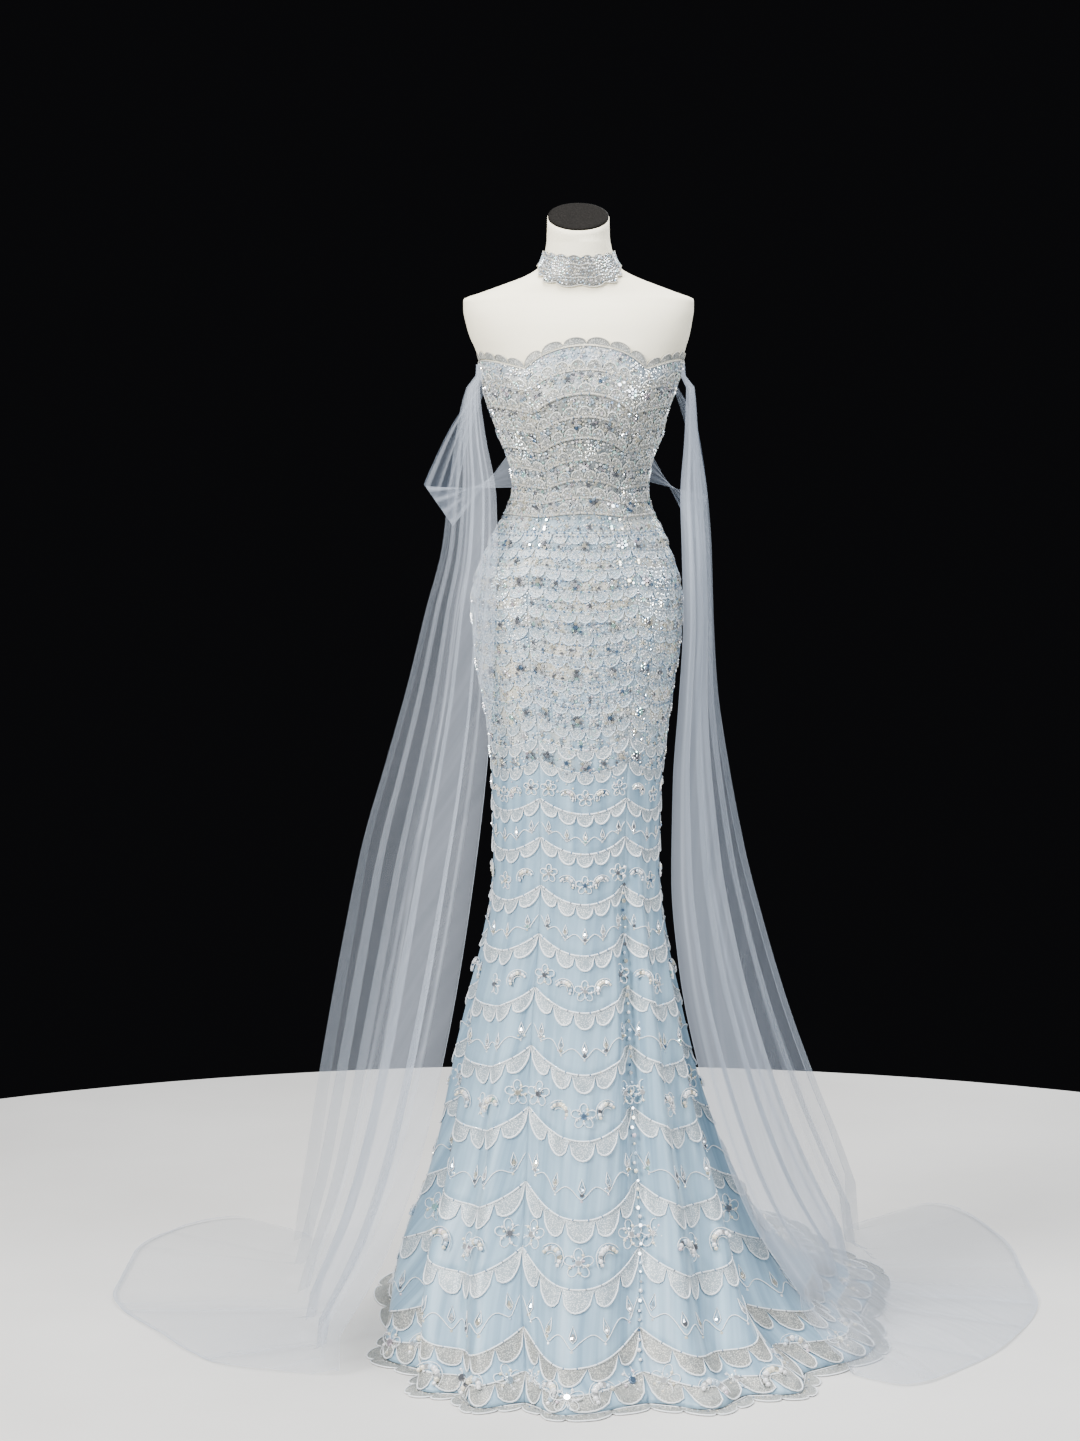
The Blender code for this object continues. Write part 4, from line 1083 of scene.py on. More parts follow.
# %% Seed beads all over the bodice and hips
fields = [seed_field(panel) for panel in PANELS]
for name, some in (("seed_beads_back", fields[:2] + fields[5:]), ("seed_beads_front", fields[2:5])):
    points, normals, sides, tints = (np.concatenate(part) for part in zip(*some))
    sizes = chance.uniform(0.0013, 0.0023, len(points))
    hand_over("lace", copies(name, SEED, points, normals, sides, sizes, tints, SEED_GLASS))

# %% Studs along the lace lines, and dotted arcs over the hips
DOTTED_LEVELS = np.arange(1.225, 0.985, -0.029)
DOT_STEP = 0.0062
STUD_SIZE = 0.0018
BEAD_LIFT = 0.0024       # how far these beads stand off the cloth


def add_row(beads, spots, size):
    """A bead at each spot of a row (points, normals, sides)."""
    beads.extend((*spot, size) for spot in zip(*spots))


for panel in PANELS:
    for level in DOTTED_LEVELS:
        count = round(cloth_width(panel, level) / DOT_STEP)
        stud_places.append((panel, np.linspace(0.03, 0.97, count), level))
stud_beads = []
for panel, across, level in stud_places:
    add_row(stud_beads, on_gown(panel, across, level, BEAD_LIFT), STUD_SIZE)
bead_piece("dark_studs", SEED, stud_beads, (0.04, 0.10, 0.04, 0.0, 0.0, 0.32, 0.50), SEED_GLASS)

# %% Crystal rosettes and single crystals on the bodice and hips
ROSETTE_STEP = 0.027
for panel in PANELS:
    close = sorted((line for line, _ in lace_rows() if line > CLOSE_ROWS_DOWN_TO), reverse=True)
    for band, (upper, lower) in enumerate(zip([NECKLINE] + close[:-1], close)):
        count = max(2, round(cloth_width(panel, upper) / ROSETTE_STEP))
        across = (np.arange(count) + (0.5 if band % 2 else 0.25)) / count
        hangs = lower < HANGS_BELOW
        middle = (0.32 if hangs else 0.66) * upper + (0.68 if hangs else 0.34) * lower
        large = 1.0 if band % 2 else 0.78
        for one, spot in enumerate(zip(*on_gown(panel, across, middle, BEAD_LIFT))):
            crystal_beads.append((*spot, 0.0036 * large))
            cluster = band % 2 and one % 2 == 0
            petals, size = (crystal_beads, 0.0027) if cluster else (small_beads, 0.0023 * large)
            add_beads(petals, spot, SIX_ROUND * 0.0057 * large, size)
        across = (np.arange(2 * count) + 0.5) / (2 * count)
        line = lower + (0.0045 if hangs else -0.0050)
        add_row(crystal_beads, on_gown(panel, across, line, BEAD_LIFT), 0.0024)

# %% Stones down the front seam
for height in np.arange(0.74, 0.05, -0.0125):
    across = chance.uniform(-0.012, 0.012)
    panel = PANELS[3] if across < 0 else PANELS[4]
    point, normal, side = on_gown(panel, across % 1.0, height, 0.0016)
    kind = crystal_beads if chance.uniform() < 0.45 else pearl_beads
    kind.append((point, normal, side, chance.uniform(0.0022, 0.0040)))

# %% Crystals, pearls and drops
for name, shape, beads, mix, finish, smooth in (
        ("crystals", CRYSTAL, crystal_beads, (0.43, 0.14, 0.16, 0.04, 0.02, 0.18, 0.03),
         CRYSTAL_GLASS, False),
        ("pearls", PEARL, pearl_beads, (0.55, 0.10, 0.30, 0.0, 0.05, 0.0, 0.0), PEARL_GLAZE, True),
        ("glass_drops", DROP, drop_beads, (0.50, 0.20, 0.20, 0.0, 0.0, 0.10, 0.0), CRYSTAL_GLASS, False),
        ("small_beads", SEED, small_beads, (0.45, 0.15, 0.25, 0.0, 0.05, 0.10, 0.0), SEED_GLASS, False)):
    bead_piece(name, shape, beads, mix, finish, smooth)

# %% [markdown]
# ## The edge above the bodice and the border on the floor
#
# The neckline ends in upright scallops on a grey cord, and the hem has a flat border of the
# same lace that lies on the floor. Both follow the outline of their solids: the neckline is
# raised from the panels' top edges, and the border is drawn outwards from the hem's own line.

# %% Neckline lace
NECK_SCALLOP = 0.0120
NECK_FOOT = 0.0016


def scallop_reach(share):
    """How far an edge scallop reaches, as a share of its depth."""
    return 0.25 + 0.75 * round_edge(share)


def neckline_grid(panel, start, end, columns=14, rows=6):
    """One scallop's net, from its foot on the bodice's edge up to its round top."""
    share = np.linspace(0, 1, columns)
    across = start + share * (end - start)
    height = panel_height(panel, across, np.full(columns, NECKLINE))
    reach = np.linspace(0, 1, rows)[::-1, None]
    height = height + NECK_FOOT * (1 - reach) + NECK_SCALLOP * scallop_reach(share) * reach
    point, normal, _ = panel_frame(panel, across + 0 * reach, height)
    return point - normal * (GOWN_WALL / 2 - 0.0006 * np.sin(np.pi * share)[None, :, None]), normal


neck_batches = []
neck_lines = []
for panel in PANELS:
    count = panel["neck_scallops"]
    for one in range(count):
        points, normals = neckline_grid(panel, one / count, (one + 1) / count)
        neck_batches.append((points[None], True))
        neck_lines.append((points[0] + normals[0] * 0.0003, normals[0], 0.0008, False))
    foot, normals, _ = on_gown(panel, np.linspace(0.004, 0.996, 40), NECKLINE - 0.0006, 0.0008)
    neck_lines.append((foot, normals, 0.0011, False))
neckline_net = joined_grids("neckline_net", neck_batches, BEIGE_NET)
neckline_cords = cords("neckline_cords", neck_lines, SILVER_CORD, sides=5)
hand_over("lace", neckline_net, neckline_cords)
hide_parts("neckline_lace")

# %% Border on the floor
HEM_LACE_WIDTH = 0.010
HEM_LACE_GAP = 0.0010
HEM_SCALLOP = 0.022


def hem_scallop(panel, start, end, columns=13, rows=5):
    """One scallop of the border: from the hem's line out over the floor."""
    share = np.linspace(0, 1, columns)
    across = start + share * (end - start)
    solid_columns = 8 if "side" in panel["name"] else 6
    corners = np.linspace(0, 1, solid_columns + 1)
    hem = panel_surface(panel, corners, np.full(len(corners), HEM))
    line = np.stack([np.interp(across, corners, hem[:, axis]) for axis in range(3)], axis=-1)
    turn = np.radians(panel_angle(panel, across, HEM))
    outward = np.stack([np.sin(turn), -np.cos(turn), 0 * turn], axis=-1)
    reach = HEM_LACE_WIDTH + HEM_SCALLOP * scallop_reach(share)
    steps = np.linspace(0, 1, rows)[:, None]
    reach = HEM_LACE_GAP + (reach - HEM_LACE_GAP) * steps
    points = line[None] + outward[None] * reach[..., None]
    points[..., 2] = 0.0010 + 0.0006 * np.sin(np.pi * share)[None] * np.sin(np.pi * steps)
    return points


hem_batches = []
hem_lines = []
hem_beads = []
for panel in PANELS:
    count = panel["hem_scallops"]
    for one in range(count):
        points = hem_scallop(panel, one / count, (one + 1) / count)
        hem_batches.append((points[None], False))
        upward = np.tile(UP, (points.shape[1], 1))
        for row, radius in ((points[-1], 0.0012), (points[0], 0.0010)):
            hem_lines.append((row + UP * 0.0006, upward, radius, False))
        for place in points[1, 2:-1:2]:
            hem_beads.append((place + UP * 0.0008, UP, np.array([1.0, 0, 0]), 0.0016))
hem_net = joined_grids("hem_net", hem_batches, BEIGE_NET)
hem_cords = cords("hem_cords", hem_lines, WHITE_CORD, sides=4)
hem_seeds = bead_piece("hem_beads", SEED, hem_beads, (0.5, 0.1, 0.25, 0, 0, 0.1, 0.05), SEED_GLASS)
hand_over("lace", hem_net, hem_cords)
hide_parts("hem_lace")

# %% [markdown]
# ## The zip
#
# A concealed zip closes the centre back. Two rows of small teeth mesh on a narrow tape, and
# the slider rests at the top with its tab hanging down. A tooth is one small block, copied.

# %% Zip
ZIP_ROWS = 90
TEETH = 190
TOOTH_TINT = 0.55
back = PANELS[0]
zip_height = panel_height(back, np.zeros(ZIP_ROWS), np.linspace(NECKLINE - 0.002, ZIP_END, ZIP_ROWS))
tape_middle, tape_normal, tape_side = panel_frame(back, np.zeros(ZIP_ROWS), zip_height)
tape_share = np.linspace(-0.5, 0.5, 7)[None, :, None]
tape_points = tape_middle[:, None] + tape_side[:, None] * tape_share * (ZIP_WIDTH - 0.0002)
tape = cloth_sheet("zip_tape", tape_points, SATIN, 0.0008)
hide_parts("zip_back")
hand_over("gown", tape)


def tooth_shape():
    deselect_all()
    bpy.ops.mesh.primitive_cube_add(size=1)
    tooth = bpy.context.object
    edit_all()
    bpy.ops.transform.resize(value=(1.0, 0.5, 0.4))
    return shape_of(tooth)


def rounded_block(name, place, size, bevel):
    """A small metal block with rounded edges; its size is in shares of 6 mm."""
    deselect_all()
    bpy.ops.mesh.primitive_cube_add(size=0.006, location=place)
    block = bpy.context.object
    block.name = name
    edit_all()
    bpy.ops.transform.resize(value=size)
    bpy.ops.mesh.bevel(offset=bevel, segments=2)
    bpy.ops.object.mode_set(mode="OBJECT")
    bpy.ops.object.transform_apply()
    block.data.materials.append(SILVER_CORD)
    block.data.shade_smooth()
    return block


rows = np.linspace(0, ZIP_ROWS - 1, TEETH)
index = rows.astype(int)
way = np.where(np.arange(TEETH) % 2 == 0, 1.0, -1.0)[:, None]
places = np.stack([np.interp(rows, np.arange(ZIP_ROWS), tape_middle[:, axis]) for axis in range(3)], -1)
places = places + tape_side[index] * 0.0005 * way + tape_normal[index] * 0.0005
teeth = copies("zip_teeth", tooth_shape(), places, tape_normal[index], tape_side[index],
               np.full(TEETH, 0.0022), np.full((TEETH, 3), TOOTH_TINT), CRYSTAL_GLASS)
slider = rounded_block("zip_slider", tape_middle[0] + tape_normal[0] * 0.0024, (0.9, 0.5, 1.3), 0.0008)
tab = rounded_block("zip_tab", tape_middle[0] + tape_normal[0] * 0.0046 - UP * 0.011,
                    (0.7, 0.16, 2.6), 0.0004)
hand_over("iron", teeth, slider, tab)

# %% [markdown]
# ## The dress form
#
# The form is a moulded torso covered in jersey. Below the neckline it is the gown's own shape
# less the cloth, and above it a short table gives its half widths and depths. The rings are
# close together and the curves smooth, because a bare shoulder shows every facet. Its neck is
# cut off at a slant under a dark cap.

# %% Rings of the form
SHOULDER_COLUMNS = ("height", "left", "right", "front", "back")
SHOULDERS = thousandths((
    (1493, 152, 150, 99, 79), (1503, 157, 158, 95, 80), (1530, 163, 167, 84, 80),
    (1552, 166, 171, 70, 74), (1565, 166, 171, 59, 66), (1576, 140, 143, 52, 60),
    (1588, 108, 110, 49, 56), (1600, 78, 79, 48, 53), (1612, 58, 61, 48, 51), (1628, 49, 53, 47, 49),
    (1650, 43.5, 49, 46, 48),
))
NECK_RADIUS = 0.0452
NECK_SHIFT = -0.003
NECK_BEND = 1.640        # the rings of the neck tilt more and more from here up
NECK_TOP = 1.684
NECK_TILT = 24.0
FOOT_TUCK = 0.05
SHOULDER = read_table(SHOULDER_COLUMNS, SHOULDERS)


def shoulder_ring(angle, height):
    return round_section(angle, *(SHOULDER[column](height) for column in SHOULDER_COLUMNS[1:]))


def neck_ring(angle, height, radius):
    turn = np.radians(angle)
    share = np.clip((height - NECK_BEND) / (NECK_TOP - NECK_BEND), 0, 1)
    y = -radius * np.cos(turn)
    rise = share * math.tan(math.radians(NECK_TILT)) * y
    return np.stack([NECK_SHIFT + radius * np.sin(turn), y, height + rise], axis=-1)


FORM_COLUMNS = 16
SHOULDER_ROWS = 46
BODY_ROWS = 44
FORM_SHARES = np.arange(FORM_COLUMNS) / FORM_COLUMNS
ring_angles = np.concatenate([panel_angle(panel, FORM_SHARES, NECKLINE) for panel in PANELS])
rings = [neck_ring(ring_angles, NECK_TOP, NECK_RADIUS - 0.002) + UP * 0.0001]
for height, wider in ((NECK_TOP - 0.0005, 0.0), (1.672, 0.0002), (1.661, 0.0006)):
    rings.append(neck_ring(ring_angles, height, NECK_RADIUS + wider))
for height in np.linspace(SHOULDERS[-1][0], 1.500, SHOULDER_ROWS):
    x, y = shoulder_ring(ring_angles, height)
    rings.append(np.stack([x, y, np.full(len(x), height)], axis=-1))
for level in np.linspace(NECKLINE, FORM_BOTTOM + 0.034, BODY_ROWS):
    ring = []
    for panel in PANELS:
        height = panel_height(panel, FORM_SHARES, np.full(FORM_COLUMNS, level))
        point, normal, _ = panel_frame(panel, FORM_SHARES, height)
        ring.append(point - normal * (GOWN_WALL + FORM_EASE))
    rings.append(np.concatenate(ring))
foot = np.concatenate([panel_surface(panel, FORM_SHARES, np.full(FORM_COLUMNS, FORM_BOTTOM))
                       for panel in PANELS])
rings += [foot * np.array([share, share, 1]) for share in (1 - FOOT_TUCK, 0.5, 0.001)]
rings = np.stack(rings)
rings = np.concatenate([rings, rings[:, :1]], axis=1)
form = cloth_sheet("form_shell", rings, CANVAS, closed=True)
deselect_all()
form.select_set(True)
bpy.context.view_layer.objects.active = form
edit_all()
bpy.ops.mesh.fill_holes(sides=0)
bpy.ops.object.mode_set(mode="OBJECT")
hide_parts("dress_form")
hand_over("canvas", form)
print("form rings:", len(rings))

# %% Cap
cap_angles = np.linspace(0, 360, 97)
low = neck_ring(cap_angles, NECK_TOP, NECK_RADIUS - 0.001) + UP * 0.0004
crown = low * np.array([0.90, 0.90, 1.0]) + np.array([0.1 * NECK_SHIFT, 0, 0])
crown[:, 2] = NECK_TOP + 0.0040 + math.tan(math.radians(NECK_TILT)) * crown[:, 1]
middle = crown.mean(axis=0)
cap_rings = [middle + (crown - middle) * share for share in (0.001, 0.35, 0.7, 0.94)]
cap_rings += [0.75 * crown + 0.25 * (low + UP * 0.0025) + UP * 0.0003, low + UP * 0.0025, low]
underside = low.mean(axis=0)
cap_rings += [underside + (low - underside) * share for share in (0.5, 0.001)]
cap = cloth_sheet("cap_shell", np.stack(cap_rings), CAP_FELT, closed=True)
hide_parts("neck_cap")
hand_over("cap", cap)

# %% Stand
for name in ("stand_pole", "stand_base"):
    bpy.data.objects[name].material_slots[0].material = IRON

# %% [markdown]
# ## The choker
#
# The choker is a stiff beaded band that is shaped to the neck and fastens at the back. Its
# sheet follows the neck, its edges are scalloped and corded, and seed beads cover it in rows.

# %% Choker
CHOKER_TOP = 1.631
CHOKER_BOTTOM = 1.616
CHOKER_TOP_DIP = 0.006
CHOKER_BOTTOM_DIP = 0.029
CHOKER_DIP_POWER = 2.2
CHOKER_EASE = 0.0018
CHOKER_SCALLOPS = 18
CHOKER_SCALLOP = 0.0040
LACE_WALL = 0.0012


def on_choker(angles, share, out=0.0):
    """Share runs from 0 at the choker's top edge to 1 at its bottom edge."""
    turn = np.radians(angles)
    front = np.clip(np.cos(turn), 0, 1) ** CHOKER_DIP_POWER
    bow = np.abs(np.sin(np.radians(angles * CHOKER_SCALLOPS / 2)))
    top = CHOKER_TOP - CHOKER_TOP_DIP * front + CHOKER_SCALLOP * bow
    bottom = CHOKER_BOTTOM - CHOKER_BOTTOM_DIP * front - CHOKER_SCALLOP * bow
    height = top + (bottom - top) * share
    narrowing = SHOULDER["left"](height - 0.001) - SHOULDER["left"](height + 0.001)
    tilt = np.where(np.cos(turn) > 0.4, 0.0, np.arctan2(narrowing, 0.002))
    outset = CHOKER_EASE + LACE_WALL / 2 + out
    normal = np.stack([np.sin(turn) * np.cos(tilt), -np.cos(turn) * np.cos(tilt), np.sin(tilt)], axis=-1)
    side = np.stack([np.cos(turn), np.sin(turn), 0 * turn], axis=-1)
    return np.stack([*shoulder_ring(angles, height), height], axis=-1) + outset * normal, normal, side


choker_angles = np.linspace(-180, 180, 10 * CHOKER_SCALLOPS + 1)
choker_points = on_choker(choker_angles[None] + np.zeros((8, 1)), np.linspace(0, 1, 8)[:, None])[0]
choker = cloth_sheet("choker_band", choker_points, SILVER_NET, 0.0008, closed=True, offset=0.0)
declare_cloth(choker, choker_points, "choker", "lace")
choker_lines = []
for share, radius in ((0.0, 0.0009), (0.28, 0.0007), (0.72, 0.0007), (1.0, 0.0009)):
    point, normal, _ = on_choker(choker_angles[:-1], share, 0.0006)
    choker_lines.append((point, normal, radius, True))
choker_cords = cords("choker_cords", choker_lines, SILVER_CORD, sides=4)
BEAD_ROWS = np.linspace(0.06, 0.94, 9)
BEAD_TURN = 3.4          # degrees between beads; every second row starts half of that further on
round_angles = np.arange(0, 360, BEAD_TURN) - 180
bead_angles = [round_angles + BEAD_TURN / 2 * (row % 2) for row in range(len(BEAD_ROWS))]
bead_angles = np.concatenate(bead_angles)
bead_angles = bead_angles + chance.uniform(-0.8, 0.8, len(bead_angles))
bead_shares = np.repeat(BEAD_ROWS, len(round_angles)) + chance.uniform(-0.03, 0.03, len(bead_angles))
spots = on_choker(bead_angles, bead_shares, 0.0010)
sizes = chance.uniform(0.0012, 0.0019, len(bead_angles))
tints = drawn_tints(len(bead_angles), np.array((0.36, 0.22, 0.10, 0.04, 0.02, 0.20, 0.06)))
choker_beads = copies("choker_beads", SEED, *spots, sizes, tints, SEED_GLASS)
hand_over("lace", choker_cords, choker_beads)

# %% [markdown]
# ## Tulle drapes
#
# A length of tulle is gathered into each top corner of the bodice, falls in long folds beside
# the skirt and spreads on the floor. Its solid has five deep folds; the sheet here follows
# them and adds finer ones. Net looks denser where it turns edge-on and where it doubles, so
# each point carries a number of layers, and the finish uses it as its opacity.

# %% Rails of the drapes
DRAPE_COLUMNS = ("height", "front_x", "front_y", "back_x", "back_y", "bow", "fold")
DRAPE_R = thousandths((
    (1471, -130, -24, -130, 20, 0, 4), (1440, -146, -36, -160, 32, 4, 6),
    (1370, -138, -48, -176, 52, 6, 9), (1280, -122, -56, -188, 72, 8, 12),
    (1200, -120, -74, -196, 100, 10, 14), (1100, -124, -88, -222, 150, 12, 16),
    (980, -128, -88, -252, 215, 12, 19), (860, -138, -90, -286, 280, 12, 22),
    (720, -155, -98, -325, 360, 12, 26), (580, -176, -108, -352, 440, 12, 30),
    (430, -205, -122, -380, 510, 10, 32), (290, -240, -138, -404, 565, 8, 33),
    (160, -290, -150, -424, 605, 6, 32), (60, -350, -164, -442, 636, 6, 26),
))
DRAPE_L = thousandths((
    (1471, 130, -22, 130, 22, 0, 2), (1440, 154, -22, 160, 34, 4, 6), (1370, 152, -22, 166, 56, 6, 8),
    (1280, 146, -24, 182, 82, 8, 10), (1200, 148, -34, 188, 112, 8, 12),
    (1100, 150, -42, 192, 150, 8, 13), (980, 144, -40, 202, 195, 6, 14),
    (860, 136, -36, 222, 245, 6, 16), (720, 134, -34, 250, 320, 6, 20),
    (580, 146, -36, 288, 400, 6, 22), (430, 176, -40, 334, 490, 6, 24),
    (290, 218, -46, 384, 585, 6, 26), (190, 262, -56, 424, 655, 6, 26),
    (100, 325, -80, 456, 705, 6, 24),
))

POOL_COLUMNS = ("along", "x", "y")
POOL_R = (
    (0.00, -0.392, -0.160), (0.15, -0.520, -0.115), (0.32, -0.640, 0.060), (0.52, -0.735, 0.300),
    (0.70, -0.728, 0.560), (0.84, -0.662, 0.735), (0.94, -0.575, 0.790), (1.00, -0.490, 0.715),
)
POOL_L = (
    (0.00, 0.385, -0.150), (0.07, 0.470, -0.218), (0.17, 0.565, -0.130), (0.32, 0.655, 0.020),
    (0.50, 0.725, 0.270), (0.68, 0.725, 0.540), (0.84, 0.690, 0.785), (0.94, 0.620, 0.890),
    (1.00, 0.530, 0.800),
)
POOL_FOLD = 0.014        # height of the folds where the tulle meets the floor
POOL_EDGE = 0.0012       # lowest height of the tulle's middle layer
CRUMPLE = 0.0028         # half the height of the small waves on the floor
LANDING_RISE = 0.0045    # extra height where the hanging part meets the floor
DRAPE_FOLDS = 5
DEEP_SHARE = 0.94        # how much of a fold's depth the deep folds and the fine ones take
FINE_SHARE = 0.09

CLEARANCE = ((1.471, 0.0006), (1.44, 0.0040), (1.30, 0.0070), (0.70, 0.0080), (0.00, 0.0080))

# Each row of a loop: x, y and z of its outer edge, then of its inner edge.
LOOP_R = thousandths((
    (-130, 32, 1462, -130, 40, 1462), (-190, 64, 1380, -168, 86, 1350),
    (-232, 96, 1292, -192, 134, 1232), (-230, 88, 1289, -190, 126, 1228),
    (-166, 72, 1287, -140, 93, 1292), (-70, 36, 1290, -80, 54, 1372),
))
LOOP_L = thousandths((
    (130, 33, 1462, 130, 41, 1462), (175, 66, 1376, 165, 90, 1346), (192, 106, 1276, 178, 138, 1210),
    (190, 98, 1273, 176, 130, 1207), (142, 78, 1286, 130, 90, 1296), (70, 38, 1306, 80, 54, 1384),
))
LOOP_HEAD_GAP = 0.0010   # from the gown's outline to the middle of the tulle, where it is sewn
LOOP_END_GAP = 0.0026    # the same where it is sewn over a lace tier
KEEP_CLEAR = curve_through(*zip(*CLEARANCE))


# %% Drape surface
def ridge_reach(height):
    return 0.5 * SEAM["flute"](height)


def outside_ratio(x, y, height):
    """1 on the line round the gown's flutes at a height, more outside it; and the angle there."""
    left = x > 0
    ridge = ridge_reach(height)
    half_width = np.where(left, SECTION["left"](height), SECTION["right"](height)) + ridge
    mid = np.where(left, SECTION["mid_left"](height), SECTION["mid_right"](height))
    depth = np.where(y < mid, SECTION["front"](height) + mid, SECTION["back"](height) - mid) + ridge
    power = SECTION["power"](height)
    across = signed_power(x / half_width, 1 / power)
    along = signed_power((mid - y) / depth, 1 / power)
    return np.hypot(across, along) ** power, np.degrees(np.arctan2(across, along))


def push_clear(points, clearance):
    """Move points level with the floor until they clear the gown at their height."""
    x, y, height = points[..., 0], points[..., 1], points[..., 2]
    ratio, angle = outside_ratio(x, y, height)
    wanted = body_point(angle, height, clearance + ridge_reach(height))
    wanted_ratio, _ = outside_ratio(wanted[..., 0], wanted[..., 1], height)
    return np.where((ratio < wanted_ratio)[..., None], wanted, points)


def gown_height_under(x, y):
    """The height of the skirt or train below each point, or 0 beyond the hem."""
    low = np.zeros(x.shape)
    high = np.full(x.shape, SEARCH_FROM)
    beyond = outside_ratio(x, y, low)[0] > 1.0
    for _ in range(HALVINGS):
        middle = 0.5 * (low + high)
        inside = outside_ratio(x, y, middle)[0] < 1.0
        low = np.where(inside, middle, low)
        high = np.where(inside, high, middle)
    return np.where(beyond, 0.0, low)


SEARCH_FROM = 0.60       # no tulle on the floor lies under the skirt above this height
HALVINGS = 22
FINE_FOLDS = ((13, 0.20, 0.4, 2.1), (21, 0.12, 1.9, -3.4), (34, 0.06, 0.8, 5.0))
HANGING_ROWS = 84
POOL_FINE_ROWS = 26
DRAPE_POINTS = 150


def fold_wave(along, height, seed):
    """Fine folds that wander a little down the drape; 0 to 1."""
    wave = np.zeros(np.broadcast(along, height).shape)
    total = sum(share for _, share, _, _ in FINE_FOLDS)
    for count, share, start, drift in FINE_FOLDS:
        phase = 2 * np.pi * (count * along + start + seed) + drift * np.sin(1.7 * height + seed)
        wave += share / total * (0.5 + 0.5 * np.sin(phase))
    return wave


def drape_points(rails, pool, seed):
    along = np.linspace(0, 1, DRAPE_POINTS)[None]
    wave = 0.5 - 0.5 * np.cos(2 * np.pi * DRAPE_FOLDS * along)
    rail = read_table(DRAPE_COLUMNS, rails)
    outline = read_table(POOL_COLUMNS, pool)
    sign = np.sign(rails[0][1])
    height = np.linspace(rails[0][0], rails[-1][0], HANGING_ROWS)[:, None]
    front = np.stack([rail["front_x"](height), rail["front_y"](height)], axis=-1)
    back = np.stack([rail["back_x"](height), rail["back_y"](height)], axis=-1)
    line = back - front
    outward = unit(np.stack([line[..., 1], -line[..., 0]], axis=-1)) * sign
    bow = rail["bow"](height) * 4 * along * (1 - along)
    place = front + line * along[..., None] + outward * bow[..., None]
    points = np.concatenate([place, np.broadcast_to(height[..., None], place.shape[:2] + (1,))], axis=-1)
    points = push_clear(points, KEEP_CLEAR(height))
    depth = rail["fold"](height)
    lift = depth * (DEEP_SHARE * wave + FINE_SHARE * fold_wave(along, height, seed))
    points[..., :2] += outward * lift[..., None]
    landing = points[-1]
    share = (np.arange(1, POOL_FINE_ROWS + 1) / POOL_FINE_ROWS)[:, None]
    x = landing[None, :, 0] * (1 - share) + outline["x"](along) * share
    y = landing[None, :, 1] * (1 - share) + outline["y"](along) * share
    ripples = fold_wave(along + 0.06 * share, 2 * share, seed + 0.3)
    crumple = np.sin(37 * x + 11 * np.sin(9 * y)) * np.sin(29 * y + 2 * seed)
    rise = POOL_EDGE + POOL_FOLD * (1 - 0.7 * share) * (0.6 * wave + 0.4 * ripples)
    rise = rise + CRUMPLE * (1 + crumple) * share * (1.02 - share)
    under = gown_height_under(x, y)
    over = under + np.where(under > 0, KEEP_CLEAR(0.0), LANDING_RISE * (1 - share))
    floor_rows = np.stack([x, y, over + rise], axis=-1)
    return np.concatenate([points, floor_rows])


def tulle_sheet(name, points, layers, turned):
    """A sheet of net that knows how many layers thick it looks at each point.

    It is turned where its rows run from right to left as seen from outside."""
    if turned:
        points = points[:, ::-1]
        layers = layers[:, ::-1]
    sheet = cloth_sheet(name, points, TULLE)
    thickness = sheet.data.attributes.new("layers", "FLOAT", "POINT")
    thickness.data.foreach_set("value", layers[::-1].ravel().astype(np.float32))
    declare_cloth(sheet, points, name.removeprefix("tulle_"), "tulle")


# Where the net folds over itself it shows as a pale line: its place along the sheet, how far
# it wanders towards the floor, and how many layers it adds.
FOLD_LINES = (
    (0.045, 0.02, 0.26), (0.150, 0.06, 0.16), (0.215, -0.02, 0.24), (0.410, 0.05, 0.20),
    (0.455, -0.03, 0.26), (0.660, 0.06, 0.13), (0.835, -0.04, 0.11),
)
FOLD_LINE_WIDTH = 0.0045
# The layers from each drape's front edge (0) to its back edge (1): gathered in front, and
# single behind.
LAYERS_R = ((0.00, 0.26), (0.10, 0.34), (0.22, 0.42), (0.44, 0.40), (0.54, 0.22), (1.00, 0.20))
LAYERS_L = ((0.00, 0.44), (0.08, 0.58), (0.46, 0.66), (0.60, 0.36), (1.00, 0.27))
POOL_SHARE = 0.60        # the tulle on the floor looks this much as dense
HEM_LAYERS = 0.60        # layers along the outer edge on the floor
EDGE_LAYERS = 0.66       # and along the two long edges
HEAD_LAYERS = 0.08       # added where the net is gathered, from a height up
HEAD_FROM = 1.2
HEAD_HEIGHT = 0.27


def layers_of(along, row, profile, seed):
    """How many layers the net looks: a broad gathered band, and crisp lines at the folds."""
    wander = along + 0.035 * np.sin(2.1 * row + 3 * seed)
    places, values = zip(*profile)
    layers = np.interp(wander, places, values)
    for place, drift, share in FOLD_LINES:
        middle = place + drift * np.sin(1.4 * row + 4 * seed)
        layers += share * np.exp(-((along - middle) / FOLD_LINE_WIDTH) ** 2)
    return layers


